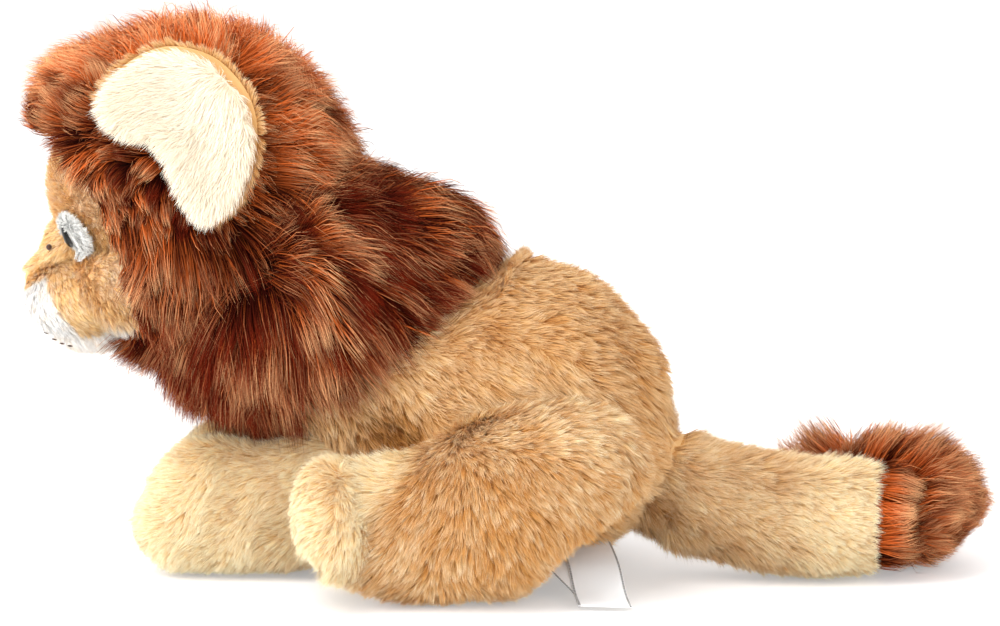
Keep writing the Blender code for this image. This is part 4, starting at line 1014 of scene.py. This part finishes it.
# %% White patches behind the eyes
def patch_grid(side):
    """A white lens on the skull: with the level l = |(p - c) / half| of a point p of a ball there,
    p becomes c + (p - c) * (1.010 + 0.1 * (l - 1) - 0.03 * near) / l, where near is 1 under the eye."""
    middle, half = skull["centre"], skull["half"]
    grid = surface(ball(PATCH_MIDDLE * (side, 1, 1), (0.0225, 0.0142, 0.0174)), 24, 32)
    level = np.linalg.norm((grid - middle) / half, axis=-1, keepdims=True)
    seat = eye_seat["left" if side > 0 else "right"]
    near = ease(-np.linalg.norm(grid - seat, axis=-1, keepdims=True), -0.0060, -0.0045)
    return middle + (grid - middle) * (1.010 + 0.1 * (level - 1) - 0.03 * near) / level


print("a lens of", (np.ptp(patch_grid(1), axis=(0, 1)) * 1000).round(1).tolist(), "mm")


# %% Muzzle and chin
def white_line(p):
    """How white the muzzle is: tan behind a line that falls from the bridge to the chin, white before it."""
    line = np.interp(p[:, 2], [0.080, 0.097, 0.106], [-0.1465, -0.1555, -0.1585])
    under_the_nose = ease(0.1050 + 0.55 * (p[:, 1] + 0.158) - p[:, 2], -0.0008, 0.0008)
    return ease(line - p[:, 1], -0.0010, 0.0010) * under_the_nose


def muzzle_inset(p):
    """Deeper under the nose than at the lips."""
    return 0.0028 - 0.0022 * ease(-p[..., 2], -0.100, -0.088)


def down_from_nose(x, y, z):
    """Away from the nose, and drawn towards one more direction."""
    return lambda points, normals: unit(from_nose(points, normals) + np.array([x, y, z]))


for word, side in SIDES.items():
    patch_parts = pile(
        None, 0.0, 9000, from_nose, 0.0034, 0.00030, 36,
        keep=lambda p, n: off_the_eyes(p, 0.0050), tone=one_tone(0.97), drift=0.1, grid=patch_grid(side),
    )
    patch_parts += pile(
        cheeks, 0.0004, 90000, from_nose, 0.0040, 0.00036, 30,
        keep=lambda p, n: (
            on_side(p, side) & in_patch(p) & off_the_eyes(p, 0.0028) & not_in(bridge, nose_back, room=-0.001)(p)
        ),
        tone=one_tone(0.97), drift=0.1,
    )[1:]
    fur_piece(f"eye_patch_fur_{word}", patch_parts, "head", white_fur, [f"eye_patch_{word}"])
    muzzle_parts = pile(
        muzzle, muzzle_inset, 60000, down_from_nose(side * 0.3, 0, -0.5), 0.0050, FACE_WIDTH, 40,
        keep=lambda p, n: (side * p[:, 0] > 0.0006) & ~holds(cheeks, p, -0.003) & ~holds(bridge, p, -0.002),
        tone=lambda p: 0.12 + 0.86 * white_line(p), drift=0.15,
    )
    fur_piece(f"muzzle_fur_{word}", muzzle_parts, "head", face_fur, [f"muzzle_{word}"])
chin_parts = pile(
    chin, 0.0026, 16000, down_from_nose(0, 0.3, -0.6), 0.0055, FACE_WIDTH, 40,
    keep=lambda p, n: ~holds(muzzle, p, -0.002), tone=one_tone(0.9), drift=0.15,
)
fur_piece("chin_fur", chin_parts, "head", face_fur, ["chin"])

# %% [markdown]
# ## The ears
# Each ear is a soft flap like a kidney bean, cream in front and tan behind, sewn on so that it faces sideways.
# Its outline is a closed curve round a middle, and its thickness is a half circle from the front to the back.
# A flat shape with a solidify modifier would have a square rim; here the front runs over into the back in one curve.

# %% The outline of an ear
EAR_OUTLINE = np.array([
    (-0.029, 0.011), (-0.024, 0.020), (-0.015, 0.027), (-0.004, 0.030), (0.010, 0.027), (0.021, 0.018),
    (0.027, 0.007), (0.028, -0.006), (0.025, -0.018), (0.019, -0.027), (0.011, -0.031), (0.004, -0.025),
    (-0.003, -0.013), (-0.010, -0.003), (-0.018, -0.001), (-0.026, 0.003),
])
EAR_MIDDLE = np.array([0.009, 0.004])


def ear_grid(side, front, rings=26, sides=64, grow=0.0, thick=0.0045):
    """Half an ear: middle + sin a * outline(b), bulging by thick * cos a, hollowed in front by a shallow dish."""
    b = np.linspace(0, 1, sides, endpoint=False)
    rows = np.vstack([EAR_OUTLINE[-1:], EAR_OUTLINE, EAR_OUTLINE[:2]])
    outline = read_along(rows, (1 + b * len(EAR_OUTLINE)) / (len(rows) - 1)) - EAR_MIDDLE
    outline = outline + grow * unit(outline)
    a = np.linspace(0, np.pi, rings)
    flat = EAR_MIDDLE + np.sin(a)[:, None, None] * outline[None]
    dish = 0.9 - 1.4 * np.cos(a) ** 2 if front else -0.45 * np.ones(rings)
    bulge = np.cos(a) * thick * np.where(np.cos(a) > 0, dish, 1.0)
    lean = np.radians(14)
    facing = np.array([side * np.cos(lean), 0, np.sin(lean)])
    standing = np.array([-side * np.sin(lean), 0, np.cos(lean)])
    centre = HEAD + np.array([side * 0.42, 0.05, 0.20]) * HEAD_SIZE
    out = (bulge * np.ones((sides, 1))).T[..., None] * facing
    return centre + flat[..., :1] * np.array([0, 1.0, 0]) + flat[..., 1:] * standing + out, facing


print("an ear is", (np.ptp(EAR_OUTLINE, axis=0) * 1000).round().tolist(), "mm along and up")

# %% Ears
for word, side in SIDES.items():
    grid, facing = ear_grid(side, True, grow=-0.0035)
    middle = grid[0, 0]
    heart = middle + np.array([0, 0.012, 0.020])
    parts = pile(
        None, 0.0, 30000, lambda p, n: unit(p - heart), 0.0065, FACE_WIDTH, 34,
        keep=lambda p, n: n @ facing > -0.15, tone=lambda p: 0.6 + 0.2 * mottle(p, 0.03),
        grid=grid, gather=0.3, joints=2, drift=0.25, tones=(0.10, 0.05),
    )
    fur_piece(f"ear_fur_front_{word}", parts, f"ear_{word}", cream_fur, [f"ear_front_{word}"])
    grid, facing = ear_grid(side, False, grow=-0.0015)
    grid = grid - 0.0022 * facing + np.array([0, 0.0004, 0.0020])
    parts = pile(
        None, 0.0, 34000, lambda p, n: unit(p - middle), 0.0055, BODY_WIDTH, 30,
        keep=lambda p, n: n @ facing < 0.15, tone=lambda p: 0.30 + 0.15 * mottle(p, 0.02), grid=grid,
    )
    fur_piece(f"ear_fur_back_{word}", parts, f"ear_{word}", tan_fur, [f"ear_back_{word}"])

# %% [markdown]
# ## Hard and flat pieces
# The eyes are domes of black plastic, smooth enough to mirror the window. The nose is a scrap of brown felt, and the
# stitches beside the mouth and on the bridge of the nose are brown thread. All are small closed balls pressed to shape.

# %% A plain smooth piece
def smooth_piece(name, grid, body, finish, replaced):
    """A closed grid as a smooth mesh with one finish, riding on its body in place of the solids it replaces."""
    points, faces, chart = skin(grid, np.zeros(1) + 0.5)
    mesh = bpy.data.meshes.new(name)
    mesh.from_pydata(points.tolist(), [], faces.tolist())
    mesh.shade_smooth()
    mesh.materials.append(finish)
    piece = bpy.data.objects.new(name, mesh)
    bpy.context.scene.collection.objects.link(piece)
    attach(piece, body)
    if replaced:
        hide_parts(*replaced)
    print(f"{name}: {len(faces)} triangles")


print("triangles of one stitch:", len(skin(surface(marble, 10, 12), np.zeros(1))[1]))


# %% Plain and speckled finishes
def plain(name, colour, roughness, **more):
    """A Principled BSDF whose uniform values sit on its own sockets."""
    made = bpy.data.materials.new(name)
    made.use_nodes = True
    shader = made.node_tree.nodes["Principled BSDF"]
    shader.inputs["Base Color"].default_value = seen(*colour)
    shader.inputs["Roughness"].default_value = roughness
    for socket, value in more.items():
        shader.inputs[socket.replace("_", " ")].default_value = value
    return made


def speckled(material, size, bump, first, second):
    """Fine noise on Object coordinates that goes from one colour to another and lifts the surface a little."""
    nodes, links = material.node_tree.nodes, material.node_tree.links
    shader = nodes["Principled BSDF"]
    where, noise, ramp, lift = (nodes.new(f"ShaderNode{kind}") for kind in ("TexCoord", "TexNoise", "ValToRGB", "Bump"))
    noise.inputs["Scale"].default_value = 1 / size
    noise.inputs["Detail"].default_value = 4
    ramp.color_ramp.elements[0].color, ramp.color_ramp.elements[1].color = seen(*first), seen(*second)
    ramp.color_ramp.elements[0].position, ramp.color_ramp.elements[1].position = 0.3, 0.7
    lift.inputs["Distance"].default_value = bump
    links.new(where.outputs["Object"], noise.inputs["Vector"])
    links.new(noise.outputs["Fac"], ramp.inputs["Fac"])
    links.new(noise.outputs["Fac"], lift.inputs["Height"])
    links.new(ramp.outputs["Color"], shader.inputs["Base Color"])
    links.new(lift.outputs["Normal"], shader.inputs["Normal"])


black_plastic = plain("black_plastic", (0.03, 0.025, 0.02), 0.10, IOR=1.35)
speckled(black_plastic, 0.004, 0.00002, (0.030, 0.022, 0.018), (0.055, 0.038, 0.028))
brown_felt = plain("brown_felt", (0.25, 0.14, 0.09), 0.95, Sheen_Weight=0.4)
speckled(brown_felt, 0.0006, 0.0003, (0.20, 0.11, 0.07), (0.34, 0.20, 0.13))
washer_plastic = plain("washer_plastic", (0.85, 0.85, 0.83), 0.45)
speckled(washer_plastic, 0.002, 0.0001, (0.82, 0.82, 0.80), (0.88, 0.88, 0.86))
print("black plastic, brown felt and washer plastic")

# %% Eyes and nose
EYE_WIDTH, EYE_HEIGHT = 0.0105, 0.0036
for word, side in SIDES.items():
    dome = ball((0, 0, 0), (EYE_WIDTH, EYE_HEIGHT, EYE_WIDTH))
    across = unit(np.cross(eye_axis[word], (0, 0, 1)))
    turn = np.column_stack([across, eye_axis[word], np.cross(across, eye_axis[word])])
    lens_shape = surface(dome, 24, 40)
    lens_shape[..., 1] *= np.where(lens_shape[..., 1] < 0, 0.3, 1.0)
    grid = eye_seat[word] + 0.0015 * eye_axis[word] + (0, 0, 0.0013) + lens_shape @ turn.T
    smooth_piece(f"eye_dome_{word}", grid, "head", black_plastic, [f"eye_{word}"])
    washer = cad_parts[f"eye_washer_{word}"]
    washer.data.materials.clear()
    washer.data.materials.append(washer_plastic)
nose = ball((0, -0.1664, 0.1008), (0.0140, 0.0058, 0.0092))
smooth_piece("nose_felt_piece", surface(nose, 20, 32), "head", brown_felt, ["nose"])

# %% Brown stitches
STITCHES = [
    (0.0108, -0.1590, 0.0848, 20), (0.0126, -0.1560, 0.0830, 12),
    (0.0140, -0.1530, 0.0818, 8), (0.0152, -0.1500, 0.0812, 5),
]
for word, side in SIDES.items():
    for number, (x, y, z, tilt) in enumerate(STITCHES):
        out = unit(np.array([x, y, z]) - muzzle["centre"])
        thread = ball(np.array([side, 1, 1]) * ([x, y, z] + 0.0016 * out), (0.0007, 0.0019, 0.0006), tilt=-tilt)
        smooth_piece(f"mouth_stitch_{number}_{word}", surface(thread, 10, 12), "head", brown_felt, None)
    spot = ball((side * 0.0118, -0.1582, 0.1143), (0.0018, 0.0020, 0.0022))
    smooth_piece(f"bridge_stitch_{word}", surface(spot, 10, 12), "head", brown_felt, None)

# %% [markdown]
# ## The label
# The sewn-in label is a bare loop of white satin ribbon, folded over at its loose end, its edges overlocked in black.
# It comes out of the seam at the flank and droops to the table. Cloth simulation would do for a wide piece, but
# a ribbon this narrow keeps its curve, so its route is drawn once and carried across its width.

# %% The label's route
LABEL_SHARES = [(0, 0), (0.25, 0.10), (0.55, 0.36), (0.80, 0.82), (1, 1)]
LABEL_WIDTH, LABEL_REACH, LABEL_DROP, LABEL_GAP = 0.018, 0.041, 0.0155, 0.0007


def label_sheet():
    """The cloth as rows across its width: out along the top layer, round the fold and back along the lower one.
    Each row is the route's point plus or minus half the gap along the route's normal."""
    t = np.linspace(0, 1, 40)
    route = read_along(LABEL_SHARES, t) * (LABEL_REACH, -LABEL_DROP)
    heading = unit(np.gradient(route, axis=0))
    normal = np.stack([-heading[:, 1], heading[:, 0]], 1)
    turn = np.linspace(0, np.pi, 12)[1:-1, None]
    fold = route[-1] + LABEL_GAP / 2 * (np.cos(turn) * normal[-1] + np.sin(turn) * heading[-1])
    loop = np.vstack([route + normal * LABEL_GAP / 2, fold, (route - normal * LABEL_GAP / 2)[::-1]])
    start = np.array([0.019, 0.0302, 0.0176])
    across = np.linspace(-0.5, 0.5, 9) * LABEL_WIDTH
    points = np.empty((len(loop), 9, 3))
    points[..., 0] = start[0] + loop[:, None, 0]
    lower = np.clip((np.arange(len(loop)) - len(route)) / len(route), 0, 1)
    skew = 0.0125 * loop[:, None, 0] / LABEL_REACH
    points[..., 1] = start[1] + across + skew - 0.0070 * ease(lower[:, None], 0.45, 0.75)
    points[..., 2] = start[2] + loop[:, None, 1]
    return points, np.concatenate([[0], np.cumsum(np.linalg.norm(np.diff(loop, axis=0), axis=1))])


points, way = label_sheet()
print(f"label: {LABEL_WIDTH * 1000:.0f} by {way[-1] * 1000:.0f} mm of satin")

# %% The label's mesh
rows, columns = points.shape[:2]
points[..., 2] = np.maximum(points[..., 2], 0.0004)
k = (np.arange(rows - 1)[:, None] * columns + np.arange(columns - 1)).ravel()
mesh = bpy.data.meshes.new("label")
mesh.from_pydata(points.reshape(-1, 3).tolist(), [], np.stack([k, k + 1, k + columns + 1, k + columns], 1).tolist())
chart = mesh.uv_layers.new(name="cloth")
corner = np.zeros(len(mesh.loops), np.int32)
mesh.loops.foreach_get("vertex_index", corner)
uv = np.stack([np.tile(np.linspace(0, 1, columns), rows), np.repeat(way / LABEL_WIDTH, columns)], 1)
chart.data.foreach_set("uv", uv[corner].astype(np.float32).ravel())
mesh.shade_smooth()
label = bpy.data.objects.new("label", mesh)
bpy.context.scene.collection.objects.link(label)
print(f"{rows} rows of {columns} points")


# %% Satin
def colour_socket(nodes, colour):
    """A node that puts out one colour."""
    node = nodes.new("ShaderNodeRGB")
    node.outputs[0].default_value = seen(*colour)
    return node.outputs[0]


def satin():
    """White satin: fine threads along and across, and a stitched black line near either edge of the width."""
    made = plain("white_satin", (1.0, 1.0, 1.0), 0.5, Sheen_Weight=0.2)
    nodes, links = made.node_tree.nodes, made.node_tree.links
    shader = nodes["Principled BSDF"]
    place, parts = nodes.new("ShaderNodeUVMap"), nodes.new("ShaderNodeSeparateXYZ")
    place.uv_map = "cloth"
    links.new(place.outputs["UV"], parts.inputs["Vector"])

    def maths(kind, first, second=None):
        """A Math node whose inputs are numbers or other nodes' outputs."""
        node = nodes.new("ShaderNodeMath")
        node.operation = kind
        for socket, value in zip(node.inputs, (first, second)):
            if value is None:
                continue
            if isinstance(value, float):
                socket.default_value = value
            else:
                links.new(value, socket)
        return node.outputs[0]

    edge = maths("ABSOLUTE", maths("SUBTRACT", parts.outputs["X"], 0.5))
    dash = maths("GREATER_THAN", maths("SINE", maths("MULTIPLY", parts.outputs["Y"], 150.0)), -0.35)
    seam = maths("MULTIPLY", maths("GREATER_THAN", edge, 0.455), maths("LESS_THAN", edge, 0.495))
    line = maths("MULTIPLY", seam, dash)
    warp, weft = (maths("SINE", maths("MULTIPLY", parts.outputs[axis], 420.0)) for axis in ("X", "Y"))
    threads = maths("ADD", warp, weft)
    tint = mix_colours(nodes, links, line, *(colour_socket(nodes, c) for c in ((1.0, 1.0, 1.0), (0.08, 0.08, 0.08))))
    lift = nodes.new("ShaderNodeBump")
    lift.inputs["Distance"].default_value = 0.00001
    links.new(threads, lift.inputs["Height"])
    links.new(tint, shader.inputs["Base Color"])
    links.new(lift.outputs["Normal"], shader.inputs["Normal"])
    return made


label.data.materials.append(satin())
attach(label, "root")
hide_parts("sewn_label")
print("white satin with an overlocked edge")

# %% [markdown]
# ## Floor and light
# The toy lies on a white table in soft daylight. One large lamp above and in front gives the shadow its side,
# three weaker ones open up the dark places, and the world fills the rest.
# The floor is white to the camera and keeps the shadow. A brighter lamp would whiten it too, but would bleach the fur.

# %% Floor
def floor_material():
    """A matt white floor that adds a little light of its own only where the camera or a mirror sees it."""
    made = plain("white_table", (0.97, 0.965, 0.96), 0.7)
    nodes, links = made.node_tree.nodes, made.node_tree.links
    shader, path = nodes["Principled BSDF"], nodes.new("ShaderNodeLightPath")
    either, seen_by, strength = (nodes.new("ShaderNodeMath") for _ in range(3))
    either.operation, seen_by.operation, strength.operation = "MAXIMUM", "MAXIMUM", "MULTIPLY"
    links.new(path.outputs["Is Camera Ray"], either.inputs[0])
    links.new(path.outputs["Is Glossy Ray"], either.inputs[1])
    links.new(either.outputs[0], seen_by.inputs[0])
    links.new(path.outputs["Is Transmission Ray"], seen_by.inputs[1])
    strength.inputs[1].default_value = 0.34
    links.new(seen_by.outputs[0], strength.inputs[0])
    shader.inputs["Emission Color"].default_value = (1, 1, 1, 1)
    links.new(strength.outputs[0], shader.inputs["Emission Strength"])
    return made


mesh = bpy.data.meshes.new("table_top")
mesh.from_pydata([(-6, -6, 0), (6, -6, 0), (6, 6, 0), (-6, 6, 0)], [], [(0, 1, 2, 3)])
mesh.materials.append(floor_material())
table_top = bpy.data.objects.new("table_top", mesh)
bpy.context.scene.collection.objects.link(table_top)
table_top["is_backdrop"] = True
print("a white table, 12 m square")


# %% Lamps
def lamp(name, place, size, power, colour=(1, 1, 1)):
    """A square soft box of the given size that faces the lion."""
    data = bpy.data.lights.new(name, "AREA")
    data.size, data.energy, data.color = size, power, colour
    made = bpy.data.objects.new(name, data)
    made.location = place
    made.rotation_euler = (Vector(place) - Vector((0, 0, 0.08))).to_track_quat("Z", "Y").to_euler()
    bpy.context.scene.collection.objects.link(made)


lamp("window", (0.8, -0.5, 1.4), 1.0, 14)
lamp("left_fill", (1.4, 0.5, 0.5), 1.2, 9)
lamp("front_fill", (0.9, -1.4, 0.5), 1.0, 15)
lamp("back_fill", (-1.1, 0.3, 1.1), 1.2, 5)
print(", ".join(item.name for item in bpy.data.lights))

# %% The room's light
world = bpy.data.worlds.new("room")
world.use_nodes = True
nodes, links = world.node_tree.nodes, world.node_tree.links
bpy.context.scene.world = world
sky = nodes["Background"]
sky.inputs["Color"].default_value = (1, 1, 1, 1)
path, ray = nodes.new("ShaderNodeLightPath"), nodes.new("ShaderNodeMapRange")
links.new(path.outputs["Is Camera Ray"], ray.inputs["Value"])
ray.inputs["To Min"].default_value = 0.80
ray.inputs["To Max"].default_value = 1.0
links.new(ray.outputs["Result"], sky.inputs["Strength"])
bpy.context.scene.view_settings.view_transform = "Standard"
print("the room gives", ray.inputs["To Min"].default_value, "of white")

# %% [markdown]
# ## The lion's size
# Fur may stand a little proud of the solids, but no more. The boxes of the solids and of the dressed lion are printed
# together, so that they can be compared.

# %% Sizes and the end
new_box = [list(corner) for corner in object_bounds()]
for name, box in (("solids", cad_box), ("dressed", new_box)):
    print(name, [round((high - low) * 1000, 1) for low, high in zip(*box)], "mm")
